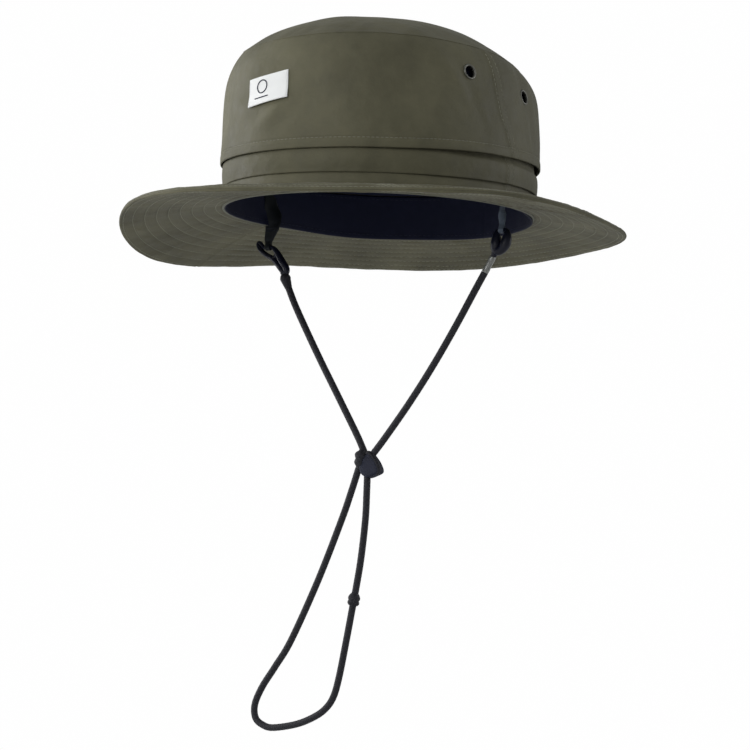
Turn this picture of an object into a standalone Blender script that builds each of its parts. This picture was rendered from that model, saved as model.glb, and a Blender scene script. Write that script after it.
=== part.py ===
"""A boonie hat: a soft lined crown over two overlapping bands, a drooping brim and a chin cord.

Metres. +X is the wearer's left, -Y the front and +Z up. The origin is the middle of the head opening,
in the plane of the brim's underside where it meets the sweatband. Angles run anticlockwise about +Z
from +X, so the front of the hat is at 270 degrees.
"""

import math

import bmesh
import bpy
from mathutils import Matrix, Vector

# Head opening and cloth
HEAD_HALF_WIDTH = 0.084
HEAD_HALF_LENGTH = 0.100
CLOTH = 0.0007
INTERLINING = 0.0010
GAP = 0.0003
LAYER = CLOTH + GAP
SEGMENT = 7.5

# Side seams, a little behind the ear line
SEAM_LEFT = 2.0
SEAM_RIGHT = 178.0
SEAM_GAP = 0.1

# Heights
SWEATBAND_BOTTOM = -0.0005
SWEATBAND_TOP = 0.028
BRIM_THICKNESS = 2 * LAYER + INTERLINING
LOWER_BAND_TOP = 0.0155
UPPER_BAND_BOTTOM = 0.0112
UPPER_BAND_TOP = 0.030
CROWN_BOTTOM = 0.0255

TOP_HEIGHT = 0.110
TOP_SLOPE = (-0.012, -0.009)
TOP_ROUNDNESS = 2.7

# The crown's wall leans in evenly, then turns in quickly at its shoulder, up to the seam with the top panel
CROWN_SEAM = 0.0893
TILT = 0.0048
SHOULDER = 0.0059
SHOULDER_POWER = 6.0

# Waves round the hat as (waves per turn, cosine part, sine part), for soft cloth never hangs quite evenly
SEAM_WAVES = ((1, -0.0033, 0.0009), (2, 0.0005, -0.0028))
TILT_WAVES = ((1, -0.0014, -0.0017),)
SHOULDER_WAVES = ((1, 0.0024, -0.0008), (2, 0.0, 0.0014))

# Offsets of each layer's outer face from the head ellipse, sweatband first
SWEATBAND_FACE = CLOTH
LINING_FACE = SWEATBAND_FACE + LAYER
LOWER_BAND_FACE = LINING_FACE + LAYER
UPPER_BAND_FACE = LOWER_BAND_FACE + LAYER
CROWN_FACE = UPPER_BAND_FACE + LAYER
LINING_BOTTOM = 0.0035
LINING_DROP = 0.0024
WALL_ROWS = (0.0, 0.08, 0.35, 0.58, 0.74, 0.88, 1.0)
TOP_ROWS = (1.0, 0.94, 0.86, 0.74, 0.55, 0.3)

# Brim
BRIM_INNER = SWEATBAND_FACE + GAP
BRIM_FLAT_PART = 0.6
BRIM_WIDTH = 0.0576
BRIM_DROP = 0.0125

# The same for the brim's width and for how far its edge hangs
WIDTH_WAVES = ((1, -0.0011, -0.0009), (2, -0.0001, -0.0007))
DROP_WAVES = (
    (1, -0.0047, 0.0026),
    (2, 0.0030, 0.0003),
    (3, -0.0016, -0.0010),
    (4, 0.0008, 0.0024),
)
BRIM_ROWS = (0.0, 0.25, 0.5, 0.75, 1.0)

# Eyelets, as the panel that each pair is in, its angle from the side seam towards the front, and its height
EYELET_PLACES = (("front", 18.2, 0.0710), ("back", -15.2, 0.0655))
EYELET_STAND = 0.0006
EYELET_TAIL = 0.0008
WASHER = 0.0005
EYELET_HOLE = 0.0023
EYELET_BARREL = 0.0027
EYELET_FLANGE = 0.0045
EYELET_SIDES = 16

# Label
LABEL_WIDTH = 0.0305
LABEL_HEIGHT = 0.0163
LABEL_ANGLE = 265.5
LABEL_MIDDLE = 0.0588
LABEL_TILT = 6.5
LABEL_GAP = 0.0004
LABEL_CLOTH = 0.0005

# Chin cord hardware. Both hooks turn on one line across the head, from ear to ear.
STRAP_Y = 0.005
PIVOT_Z = -0.014
PIVOT_X = 0.0823
BAR = 0.0011
EYE_BORE = 0.0015
EYE_OUTER = 0.0023
TAB_THICKNESS = 0.0010
TAB_TOP = 0.020
CORD = 0.002
CORD_SPACING = 0.010
SLEEVE_BORE = 0.0017
STEM = 0.0013
STEM_ROOT = 0.003
STEM_REACH = 0.004
BORE_REACH = 0.008

COLOURS = {
    "shell": (0.115, 0.110, 0.082),
    "navy": (0.012, 0.014, 0.035),
    "board": (0.75, 0.75, 0.72),
    "label": (0.85, 0.85, 0.83),
    "eyelet": (0.03, 0.035, 0.05),
    "webbing": (0.03, 0.035, 0.045),
    "hook": (0.006, 0.006, 0.009),
    "sleeve": (0.55, 0.55, 0.55),
    "cord": (0.012, 0.012, 0.014),
    "slider": (0.018, 0.021, 0.032),
}
ROUGHNESS = {"hook": 0.3, "sleeve": 0.2, "eyelet": 0.35}
METALLIC = {"eyelet": 0.8}


# ---------------------------------------------------------------- helpers


def clear_scene():
    for old in list(bpy.data.objects):
        bpy.data.objects.remove(old, do_unlink=True)


def material(name, stuff):
    """A material of an object's own, in the stuff and finish of what it is made of."""
    made = bpy.data.materials.new(name)
    made.use_nodes = True
    shader = made.node_tree.nodes["Principled BSDF"]
    shader.inputs["Base Color"].default_value = (*COLOURS[stuff], 1.0)
    shader.inputs["Roughness"].default_value = ROUGHNESS.get(stuff, 0.8)
    shader.inputs["Metallic"].default_value = METALLIC.get(stuff, 0.0)
    return made


def new_object(name, data, stuff):
    made = bpy.data.objects.new(name, data)
    bpy.context.scene.collection.objects.link(made)
    data.materials.append(material(name, stuff))
    return made


def mesh_object(name, bm, stuff):
    """An object from a bmesh in world coordinates, with its faces turned out."""
    bmesh.ops.recalc_face_normals(bm, faces=bm.faces)
    if bm.calc_volume(signed=True) < 0:
        bmesh.ops.reverse_faces(bm, faces=bm.faces)
    mesh = bpy.data.meshes.new(name)
    bm.to_mesh(mesh)
    bm.free()
    made = new_object(name, mesh, stuff)
    mesh.shade_smooth()
    mesh.set_sharp_from_angle(angle=math.radians(40))
    return made


def pivot(name, place, parent=None):
    """An empty at a joint, which carries the pieces that move with it."""
    made = bpy.data.objects.new(name, None)
    bpy.context.scene.collection.objects.link(made)
    made.location = place
    made.parent = parent
    return made


def hang(made, joint, place):
    """Gives a piece to the empty at this place, and leaves it where it is."""
    made.parent = joint
    made.matrix_parent_inverse = Matrix.Translation(-Vector(place))


def helper(made):
    made.hide_render = True
    made.display_type = "WIRE"
    return made


def boolean(target, tool, operation):
    modifier = target.modifiers.new(operation.lower(), "BOOLEAN")
    modifier.operation = operation
    modifier.object = helper(tool)
    modifier.solver = "EXACT"


def ellipse_point(angle, offset, height):
    """The point on the head ellipse at this angle, moved outwards by the offset."""
    turn = math.radians(angle)
    across = Vector((math.cos(turn) / HEAD_HALF_WIDTH, math.sin(turn) / HEAD_HALF_LENGTH)).normalized()
    x = HEAD_HALF_WIDTH * math.cos(turn) + offset * across.x
    y = HEAD_HALF_LENGTH * math.sin(turn) + offset * across.y
    return Vector((x, y, height))


def waved(angle, mean, waves):
    """A size that changes smoothly round the hat."""
    turn = math.radians(angle)
    return mean + sum(a * math.cos(n * turn) + b * math.sin(n * turn) for n, a, b in waves)


def angles_between(start, end):
    """The start, the end and each whole segment between them."""
    first = math.floor(start / SEGMENT) + 1
    last = math.ceil(end / SEGMENT)
    return [start] + [step * SEGMENT for step in range(first, last)] + [end]


def thick_profile(face, thickness):
    """Closes an outer line of (offset, height), run bottom to top, with one a thickness inside it."""
    inner = []
    for index, (offset, height) in enumerate(face):
        before = Vector(face[max(index - 1, 0)])
        after = Vector(face[min(index + 1, len(face) - 1)])
        along = (after - before).normalized()
        inner.append((offset - along.y * thickness, height + along.x * thickness))
    return list(face) + inner[::-1]


def swept(name, profile_at, start, end, stuff):
    """A profile of (offset, height) points carried round the head, from one angle to another."""
    bm = bmesh.new()
    whole = end - start >= 360.0
    angles = angles_between(start, end)
    if whole:
        angles = angles[:-1]
    rings = []
    for angle in angles:
        rings.append([bm.verts.new(ellipse_point(angle, *point)) for point in profile_at(angle)])
    if whole:
        rings.append(rings[0])
    count = len(rings[0])
    for ring, following in zip(rings, rings[1:]):
        for i in range(count):
            j = (i + 1) % count
            bm.faces.new((ring[i], ring[j], following[j], following[i]))
    if not whole:
        bm.faces.new(rings[0])
        bm.faces.new(rings[-1][::-1])
    return mesh_object(name, bm, stuff)


def swept_halves(stem, profile_at, stuff):
    """Front and back halves of a sheet, which meet at the side seams."""
    front = swept(
        f"{stem}_front", profile_at, SEAM_RIGHT + SEAM_GAP, SEAM_LEFT + 360.0 - SEAM_GAP, stuff
    )
    back = swept(f"{stem}_back", profile_at, SEAM_LEFT + SEAM_GAP, SEAM_RIGHT - SEAM_GAP, stuff)
    return front, back


# ---------------------------------------------------------------- crown


def crown_seam(angle):
    """The height of the seam between the crown's wall and its top."""
    return waved(angle, CROWN_SEAM, SEAM_WAVES)


def crown_offset(angle, height):
    """How far the crown's outer face stands off the head ellipse at a height."""
    rise = max((height - UPPER_BAND_TOP) / (crown_seam(angle) - UPPER_BAND_TOP), 0.0)
    tilt = waved(angle, TILT, TILT_WAVES)
    shoulder = waved(angle, SHOULDER, SHOULDER_WAVES)
    return CROWN_FACE - tilt * rise - shoulder * rise**SHOULDER_POWER


def crown_slope(angle, height):
    step = 0.001
    return (crown_offset(angle, height + step) - crown_offset(angle, height - step)) / (2 * step)


def crown_line(angle, bottom, top, inset):
    """Points up the crown's wall at this angle, moved in by an inset, closer together where it bends."""
    line = []
    for share in WALL_ROWS:
        height = bottom + (top - bottom) * share
        line.append((crown_offset(angle, height) - inset, height))
    return line


def make_crown():
    def wall(angle):
        return thick_profile(crown_line(angle, CROWN_BOTTOM, crown_seam(angle), 0.0), CLOTH)

    front, back = swept_halves("crown_panel", wall, "shell")
    band = thick_profile([(UPPER_BAND_FACE, UPPER_BAND_BOTTOM), (UPPER_BAND_FACE, UPPER_BAND_TOP)], CLOTH)
    swept_halves("upper_band", lambda angle: band, "shell")
    bottom = BRIM_THICKNESS + GAP
    base = thick_profile([(LOWER_BAND_FACE, bottom), (LOWER_BAND_FACE, LOWER_BAND_TOP)], CLOTH)
    swept_halves("lower_band", lambda angle: base, "shell")
    make_dome("crown_top_panel", 0.0, LAYER)
    return {"front": front, "back": back}


def make_dome(name, inset, rise, stuff="shell"):
    """An oval panel puffed up in the middle. Its edge is over the wall's top edge, a little above it."""
    bm = bmesh.new()
    layers = []
    for face in (CLOTH, 0.0):
        rings = []
        for share in TOP_ROWS:
            ring = []
            for step in range(round(360 / SEGMENT)):
                angle = step * SEGMENT
                seam = crown_seam(angle)
                rim = ellipse_point(angle, crown_offset(angle, seam) - inset, 0.0) * share
                middle = TOP_HEIGHT + TOP_SLOPE[0] * rim.x + TOP_SLOPE[1] * rim.y
                height = seam + (middle - seam) * (1 - share**TOP_ROUNDNESS)
                ring.append(bm.verts.new((rim.x, rim.y, height + rise + face)))
            rings.append(ring)
        layers.append((rings, bm.verts.new((0, 0, TOP_HEIGHT + rise + face))))
    for rings, peak in layers:
        for ring, inner in zip(rings, rings[1:]):
            bridge(bm, ring, inner)
        last = rings[-1]
        for i in range(len(last)):
            bm.faces.new((last[i], last[(i + 1) % len(last)], peak))
    bridge(bm, layers[0][0][0], layers[1][0][0])
    return mesh_object(name, bm, stuff)


def bridge(bm, ring, other):
    count = len(ring)
    for i in range(count):
        j = (i + 1) % count
        bm.faces.new((ring[i], ring[j], other[j], other[i]))


def make_lining():
    """The lining's wall and top follow the shell, a little inside it."""
    inset = CROWN_FACE - LINING_FACE

    def wall(angle):
        face = crown_line(angle, LINING_BOTTOM, crown_seam(angle) - LINING_DROP, inset)
        return thick_profile(face, CLOTH)

    swept("lining_wall", wall, 0.0, 360.0, "navy")
    make_dome("lining_top", inset + GAP, GAP - LINING_DROP, "navy")


def make_sweatband():
    face = [(SWEATBAND_FACE, SWEATBAND_BOTTOM), (SWEATBAND_FACE, SWEATBAND_TOP)]
    strip = thick_profile(face, CLOTH)
    swept("sweatband", lambda angle: strip, 0.0, 360.0, "navy")


# ---------------------------------------------------------------- brim


def brim_line(angle, base, inset):
    """The top line of one brim layer, as (offset, height) points from the joint to the edge."""
    drop = waved(angle, BRIM_DROP, DROP_WAVES)
    reach = math.sqrt(waved(angle, BRIM_WIDTH, WIDTH_WAVES) ** 2 - drop**2)
    line = []
    for row in BRIM_ROWS:
        share = min(row, 1.0 - inset / reach)
        fall = drop * (BRIM_FLAT_PART * share + (1 - BRIM_FLAT_PART) * share**2)
        line.append((BRIM_INNER + reach * share, base - fall))
    return line


def brim_layer(base, thickness, inset):
    def profile_at(angle):
        top = brim_line(angle, base + thickness, inset)
        return top[::-1] + [(offset, height - thickness) for offset, height in top]

    return profile_at


def make_brim():
    swept_halves("brim_underside", brim_layer(0.0, CLOTH, 0.0), "shell")
    core = brim_layer(LAYER, INTERLINING, 0.004)
    swept("brim_interlining", core, 0.0, 360.0, "board")
    swept_halves("brim_upper", brim_layer(LAYER + INTERLINING + GAP, CLOTH, 0.0), "shell")


# ---------------------------------------------------------------- eyelets and label


def wall_frame(angle, height):
    """A matrix whose Z points straight out of the crown's wall at this place, and whose Y climbs it."""
    point = ellipse_point(angle, crown_offset(angle, height), height)
    turn = math.radians(angle)
    out = Vector((math.cos(turn) / HEAD_HALF_WIDTH, math.sin(turn) / HEAD_HALF_LENGTH, 0)).normalized()
    slope = crown_slope(angle, height)
    normal = (out - Vector((0, 0, slope))).normalized()
    side = Vector((0, 0, 1)).cross(normal).normalized()
    climb = normal.cross(side)
    return Matrix.Translation(point) @ Matrix((side, climb, normal)).transposed().to_4x4()


def turned(name, profile, place, stuff):
    """A closed profile of (radius, height) points turned about its own Z axis."""
    bm = bmesh.new()
    rings = []
    for step in range(EYELET_SIDES):
        turn = Matrix.Rotation(math.tau * step / EYELET_SIDES, 4, "Z")
        rings.append([bm.verts.new(place @ turn @ Vector((r, 0, z))) for r, z in profile])
    rings.append(rings[0])
    for ring, following in zip(rings, rings[1:]):
        for i in range(len(profile)):
            j = (i + 1) % len(profile)
            bm.faces.new((ring[i], ring[j], following[j], following[i]))
    return mesh_object(name, bm, stuff)


def cylinder(name, start, end, radius, stuff, sides=12, end_radius=None):
    start = Vector(start)
    run = Vector(end) - start
    bm = bmesh.new()
    place = Matrix.Translation(start + run / 2) @ run.to_track_quat("Z", "Y").to_matrix().to_4x4()
    bmesh.ops.create_cone(
        bm,
        cap_ends=True,
        segments=sides,
        radius1=radius,
        radius2=radius if end_radius is None else end_radius,
        depth=run.length,
        matrix=place,
    )
    return mesh_object(name, bm, stuff)


def make_eyelets(panels):
    """Each eyelet is a flanged barrel through the wall, closed by a washer inside it."""
    under = -CLOTH - EYELET_STAND
    flange = [
        (EYELET_HOLE, under - EYELET_TAIL),
        (EYELET_BARREL, under - EYELET_TAIL),
        (EYELET_BARREL, EYELET_STAND),
        (EYELET_FLANGE, EYELET_STAND),
        (EYELET_FLANGE - 0.0004, 2 * EYELET_STAND),
        (EYELET_BARREL + 0.0003, 2 * EYELET_STAND + 0.0004),
        (EYELET_HOLE, 2 * EYELET_STAND),
    ]
    washer = [
        (EYELET_BARREL + GAP, under),
        (EYELET_BARREL + GAP, under - WASHER),
        (EYELET_FLANGE, under - WASHER),
        (EYELET_FLANGE, under),
    ]
    reach = Vector((0, 0, 0.005))
    for side, seam, forward in (("left", SEAM_LEFT, -1), ("right", SEAM_RIGHT, 1)):
        for end, shift, height in EYELET_PLACES:
            place = wall_frame(seam + forward * shift, height)
            turned(f"eyelet_{side}_{end}", flange, place, "eyelet")
            turned(f"eyelet_washer_{side}_{end}", washer, place, "eyelet")
            hole = cylinder(
                f"eyelet_hole_{side}_{end}",
                place @ -reach,
                place @ reach,
                EYELET_BARREL + GAP,
                "eyelet",
                EYELET_SIDES,
            )
            boolean(panels[end], hole, "DIFFERENCE")


def make_label():
    """A small sewn patch that bends round the crown, set on at a slight tilt."""
    bm = bmesh.new()
    columns = 10
    tilt = Matrix.Rotation(math.radians(LABEL_TILT), 2)
    layers = []
    for face in (LABEL_GAP, LABEL_GAP + LABEL_CLOTH):
        rows = []
        for row in (-0.5, 0.0, 0.5):
            line = []
            for column in range(columns + 1):
                flat = Vector(((column / columns - 0.5) * LABEL_WIDTH, row * LABEL_HEIGHT))
                flat.rotate(tilt)
                height = LABEL_MIDDLE + flat.y
                angle = LABEL_ANGLE + math.degrees(flat.x / HEAD_HALF_WIDTH)
                offset = crown_offset(angle, height) + face
                line.append(bm.verts.new(ellipse_point(angle, offset, height)))
            rows.append(line)
        layers.append(rows)
    for rows in layers:
        for row, above in zip(rows, rows[1:]):
            for i in range(columns):
                bm.faces.new((row[i], row[i + 1], above[i + 1], above[i]))
    rims = []
    for bottom, middle, top in layers:
        rims.append([*bottom, middle[-1], *top[::-1], middle[0]])
    bridge(bm, *rims)
    return mesh_object("label", bm, "label")


# ---------------------------------------------------------------- chin cord


def make_tab(name, x, top_width, stuff):
    """A ribbon sewn inside the sweatband, which twists a quarter turn into an eye for the hook."""
    eye_width = 0.0034
    sections = (
        (TAB_TOP, top_width, 0.0),
        (0.004, top_width, 0.0),
        (-0.003, (top_width + eye_width) / 2, 0.0),
        (-0.0065, eye_width * 1.15, 30.0),
        (-0.0095, eye_width, 65.0),
        (PIVOT_Z + (EYE_BORE + EYE_OUTER) / 2, eye_width, 90.0),
    )
    bm = bmesh.new()
    rings = []
    for height, width, twist in sections:
        turn = Matrix.Rotation(-math.radians(twist), 4, "Z")
        corners = [(-0.5, -0.5), (0.5, -0.5), (0.5, 0.5), (-0.5, 0.5)]
        ring = []
        for across, along in corners:
            flat = turn @ Vector((across * TAB_THICKNESS, along * width, 0))
            ring.append(bm.verts.new(flat + Vector((x, STRAP_Y, height))))
        rings.append(ring)
    for ring, following in zip(rings, rings[1:]):
        bridge(bm, ring, following)
    bm.faces.new(rings[0])
    bm.faces.new(rings[-1][::-1])
    tab = mesh_object(name, bm, stuff)
    middle = Vector((x, STRAP_Y, PIVOT_Z))
    half = Vector((eye_width / 2, 0, 0))
    boolean(tab, cylinder(f"{name}_eye", middle - half, middle + half, EYE_OUTER, stuff, 16), "UNION")
    bore = cylinder(f"{name}_bore", middle - 2 * half, middle + 2 * half, EYE_BORE, stuff, 16)
    boolean(tab, bore, "DIFFERENCE")
    return tab


def in_strap_plane(x, z):
    return Vector((x, STRAP_Y, z))


def closed_wire(name, route, stuff):
    """A closed bent rod through (x, z, radius) points. Its origin is on the hinge line."""
    curve = bpy.data.curves.new(name, "CURVE")
    curve.dimensions = "3D"
    curve.bevel_depth = BAR
    curve.bevel_resolution = 2
    spline = curve.splines.new("POLY")
    spline.points.add(len(route) - 1)
    origin = in_strap_plane(0.0, PIVOT_Z)
    for point, (x, z, radius) in zip(spline.points, route):
        point.co = (*(in_strap_plane(x, z) - origin), 1.0)
        point.radius = radius / BAR
    spline.use_cyclic_u = True
    made = new_object(name, curve, stuff)
    made.location = origin
    return made


def as_mesh(made):
    """The same object as a mesh, which a Boolean needs."""
    graph = bpy.context.evaluated_depsgraph_get()
    mesh = bpy.data.meshes.new_from_object(made.evaluated_get(graph))
    name = made.name
    stuff = made.data.materials[0]
    place = made.location.copy()
    bpy.data.objects.remove(made, do_unlink=True)
    solid = bpy.data.objects.new(name, mesh)
    bpy.context.scene.collection.objects.link(solid)
    mesh.materials.clear()
    mesh.materials.append(stuff)
    solid.location = place
    mesh.shade_smooth()
    return solid


def make_left_hook():
    """A plump oval ring with a straight top bar, and a stem that goes into the sleeve."""
    x = PIVOT_X
    route = (
        (x - 2.6e-3, PIVOT_Z, 1.10e-3),
        (x + 2.6e-3, PIVOT_Z, 1.10e-3),
        (x + 3.8e-3, PIVOT_Z - 1.3e-3, 1.5e-3),
        (x + 4.0e-3, PIVOT_Z - 4.2e-3, 2.0e-3),
        (x + 3.0e-3, PIVOT_Z - 7.6e-3, 2.2e-3),
        (x + 0.4e-3, PIVOT_Z - 11.0e-3, 2.2e-3),
        (x - 3.0e-3, PIVOT_Z - 13.0e-3, 2.1e-3),
        (x - 5.2e-3, PIVOT_Z - 11.4e-3, 2.2e-3),
        (x - 5.6e-3, PIVOT_Z - 7.6e-3, 2.2e-3),
        (x - 5.0e-3, PIVOT_Z - 4.2e-3, 2.0e-3),
        (x - 4.0e-3, PIVOT_Z - 1.3e-3, 1.5e-3),
    )
    ring = as_mesh(closed_wire("hook_left", route, "hook"))
    add_stem(ring, "left")
    return ring


def add_stem(hook, side):
    """Joins a short rod to the hook, which runs a little way into the sleeve."""
    start, end = SLEEVES[side]
    toward = (end - start).normalized()
    stem = cylinder(
        f"hook_{side}_stem", start - STEM_ROOT * toward, start + STEM_REACH * toward, STEM, "hook"
    )
    boolean(hook, stem, "UNION")


def make_right_hook():
    """A long narrow frame with a straight run in the tab's eye, a cross bar and a stem."""
    x = -PIVOT_X
    route = (
        (x - 2.6e-3, PIVOT_Z, 1.1e-3),
        (x + 2.6e-3, PIVOT_Z, 1.1e-3),
        (x + 6.6e-3, PIVOT_Z - 3.2e-3, 1.1e-3),
        (x + 11.0e-3, PIVOT_Z - 8.2e-3, 1.2e-3),
        (x + 14.2e-3, PIVOT_Z - 13.0e-3, 1.3e-3),
        (x + 13.4e-3, PIVOT_Z - 15.4e-3, 1.4e-3),
        (x + 10.8e-3, PIVOT_Z - 14.4e-3, 1.3e-3),
        (x + 7.2e-3, PIVOT_Z - 10.8e-3, 1.2e-3),
        (x + 3.2e-3, PIVOT_Z - 6.8e-3, 1.1e-3),
        (x - 1.4e-3, PIVOT_Z - 4.4e-3, 1.1e-3),
        (x - 5.6e-3, PIVOT_Z - 1.2e-3, 1.1e-3),
        (x - 7.6e-3, PIVOT_Z + 2.4e-3, 1.0e-3),
        (x - 6.4e-3, PIVOT_Z + 3.4e-3, 1.0e-3),
        (x - 4.4e-3, PIVOT_Z + 1.4e-3, 1.0e-3),
    )
    frame = as_mesh(closed_wire("hook_right", route, "hook"))
    bar = cylinder(
        "hook_right_cross_bar",
        in_strap_plane(x + 7.0e-3, PIVOT_Z - 3.8e-3),
        in_strap_plane(x + 3.6e-3, PIVOT_Z - 7.2e-3),
        0.9e-3,
        "hook",
    )
    boolean(frame, bar, "UNION")
    add_stem(frame, "right")
    return frame


def make_sleeve(side, radius, end_radius, stuff):
    """A tube over the hook's stem, as wide as the cord where the cord starts."""
    start, end = SLEEVES[side]
    sleeve = cylinder(f"cord_sleeve_{side}", start, end, radius, stuff, 14, end_radius)
    past = (end - start).normalized() * 0.002
    bore = cylinder(f"sleeve_bore_{side}", start - past, end + past, SLEEVE_BORE, stuff)
    boolean(sleeve, bore, "DIFFERENCE")
    return sleeve


def smooth_path(route, spacing):
    """Evenly spaced points along a smooth curve through the route's points."""
    points = [in_strap_plane(x, z) for x, z in route]
    padded = [2 * points[0] - points[1], *points, 2 * points[-1] - points[-2]]
    fine = []
    for before, start, end, after in zip(padded, padded[1:], padded[2:], padded[3:]):
        for step in range(24):
            t = step / 24
            fine.append(
                0.5
                * (
                    2 * start
                    + (end - before) * t
                    + (2 * before - 5 * start + 4 * end - after) * t**2
                    + (3 * start - before - 3 * end + after) * t**3
                )
            )
    fine.append(points[-1])
    lengths = [0.0]
    for here, following in zip(fine, fine[1:]):
        lengths.append(lengths[-1] + (following - here).length)
    count = max(2, round(lengths[-1] / spacing))
    path = []
    index = 0
    for step in range(count + 1):
        wanted = lengths[-1] * step / count
        while index < len(fine) - 2 and lengths[index + 1] < wanted:
            index += 1
        share = (wanted - lengths[index]) / (lengths[index + 1] - lengths[index])
        path.append(fine[index].lerp(fine[index + 1], share))
    return path


def make_cord(name, route):
    path = smooth_path(route, CORD_SPACING)
    curve = bpy.data.curves.new(name, "CURVE")
    curve.dimensions = "3D"
    curve.bevel_depth = CORD
    curve.bevel_resolution = 2
    curve.use_fill_caps = True
    spline = curve.splines.new("POLY")
    spline.points.add(len(path) - 1)
    for point, place in zip(spline.points, path):
        point.co = (*place, 1.0)
    return new_object(name, curve, "cord")


# The ends of each sleeve, hook end first
SLEEVES = {
    "left": (in_strap_plane(0.0764, -0.0290), in_strap_plane(0.0714, -0.0369)),
    "right": (in_strap_plane(-0.0699, -0.0320), in_strap_plane(-0.0671, -0.0386)),
}

# Where each stretch of cord runs in the strap's plane, as (x, z)
CORD_ROUTES = {
    "chin_cord_left": (
        (0.0712, -0.0372),
        (0.0658, -0.0454),
        (0.0511, -0.0681),
        (0.0358, -0.0901),
        (0.0201, -0.1105),
        (0.0040, -0.1295),
        (-0.0032, -0.1374),
    ),
    "chin_cord_right": (
        (-0.0669, -0.0390),
        (-0.0605, -0.0520),
        (-0.0447, -0.0796),
        (-0.0289, -0.1056),
        (-0.0161, -0.1268),
        (-0.0110, -0.1362),
    ),
    "chin_cord_loop": (
        (-0.0142, -0.1466),
        (-0.0192, -0.1600),
        (-0.0258, -0.1763),
        (-0.0420, -0.2114),
        (-0.0607, -0.2462),
        (-0.0722, -0.2620),
        (-0.0812, -0.2737),
        (-0.0864, -0.2840),
        (-0.0858, -0.2918),
        (-0.0806, -0.2958),
        (-0.0728, -0.2973),
        (-0.0563, -0.2949),
        (-0.0439, -0.2906),
        (-0.0355, -0.2856),
        (-0.0298, -0.2786),
        (-0.0259, -0.2670),
        (-0.0211, -0.2456),
        (-0.0171, -0.2266),
    ),
    "chin_cord_return": (
        (-0.0154, -0.2186),
        (-0.0118, -0.1995),
        (-0.0090, -0.1765),
        (-0.0083, -0.1600),
        (-0.0081, -0.1516),
    ),
}
KNOT_MIDDLE = in_strap_plane(-0.0163, -0.2226)
KNOT_RADIUS = 0.0036
SLIDER_DEPTH = 0.0090
SLIDER_OUTLINE = (
    (-0.0088, -0.1398),
    (-0.0052, -0.1376),
    (0.0002, -0.1424),
    (0.0026, -0.1472),
    (0.0016, -0.1498),
    (-0.0060, -0.1522),
    (-0.0112, -0.1498),
    (-0.0122, -0.1456),
)
SLIDER_MIDDLE = in_strap_plane(-0.0060, -0.1450)
COLLAR_TOP = (-0.0118, -0.1376)
COLLAR_BOTTOM = (-0.0131, -0.1450)


def make_slider():
    """A wedge that the strands run through, with a wrapped collar at its upper corner."""
    bm = bmesh.new()
    back = [bm.verts.new((x, STRAP_Y + SLIDER_DEPTH / 2, z)) for x, z in SLIDER_OUTLINE]
    front = [bm.verts.new((x, STRAP_Y - SLIDER_DEPTH / 2, z)) for x, z in SLIDER_OUTLINE]
    bm.faces.new(front)
    bm.faces.new(back[::-1])
    bridge(bm, front, back)
    bmesh.ops.recalc_face_normals(bm, faces=bm.faces)
    rims = [edge for edge in bm.edges if len({vert.co.y for vert in edge.verts}) == 1]
    bmesh.ops.bevel(bm, geom=rims, offset=0.0016, segments=2, profile=0.6, affect="EDGES")
    slider = mesh_object("slider_body", bm, "slider")
    for name in ("chin_cord_left", "chin_cord_loop", "chin_cord_return"):
        route = [in_strap_plane(*point) for point in CORD_ROUTES[name]]
        inner, outer = route[:2] if name == "chin_cord_loop" else route[:-3:-1]
        away = (outer - inner).normalized()
        bore = cylinder(
            f"slider_bore_{name}", inner - GAP * away, inner + BORE_REACH * away, CORD + GAP, "slider"
        )
        boolean(slider, bore, "DIFFERENCE")
    boolean(slider, make_collar("slider_pocket", GAP), "DIFFERENCE")
    return slider


def make_collar(name, grow):
    """The two wrapped ridges, grown by a margin when they cut their own pocket in the wedge."""
    bm = bmesh.new()
    top = in_strap_plane(*COLLAR_TOP)
    run = in_strap_plane(*COLLAR_BOTTOM) - top
    place = Matrix.Translation(top) @ run.to_track_quat("Z", "Y").to_matrix().to_4x4()
    length = run.length
    profile = (
        (0.0030, 0.0),
        (0.0040, 0.10),
        (0.0042, 0.28),
        (0.0036, 0.50),
        (0.0040, 0.70),
        (0.0038, 0.90),
        (0.0028, 1.0),
    )
    sides = 14
    rings = []
    for radius, share in profile:
        ring = []
        for step in range(sides):
            turn = math.tau * step / sides
            reach = radius + grow
            rise = share * length + math.copysign(grow, share - 0.5)
            flat = Vector((reach * math.cos(turn), reach * math.sin(turn), rise))
            ring.append(bm.verts.new(place @ flat))
        rings.append(ring)
    for ring, following in zip(rings, rings[1:]):
        bridge(bm, ring, following)
    bm.faces.new(rings[0])
    bm.faces.new(rings[-1][::-1])
    return mesh_object(name, bm, "slider")


def make_knot():
    bm = bmesh.new()
    along = (in_strap_plane(*CORD_ROUTES["chin_cord_return"][1]) - KNOT_MIDDLE).normalized()
    place = Matrix.Translation(KNOT_MIDDLE) @ along.to_track_quat("Z", "Y").to_matrix().to_4x4()
    bmesh.ops.create_uvsphere(bm, u_segments=12, v_segments=8, radius=KNOT_RADIUS, matrix=place)
    return mesh_object("cord_knot", bm, "cord")


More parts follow.
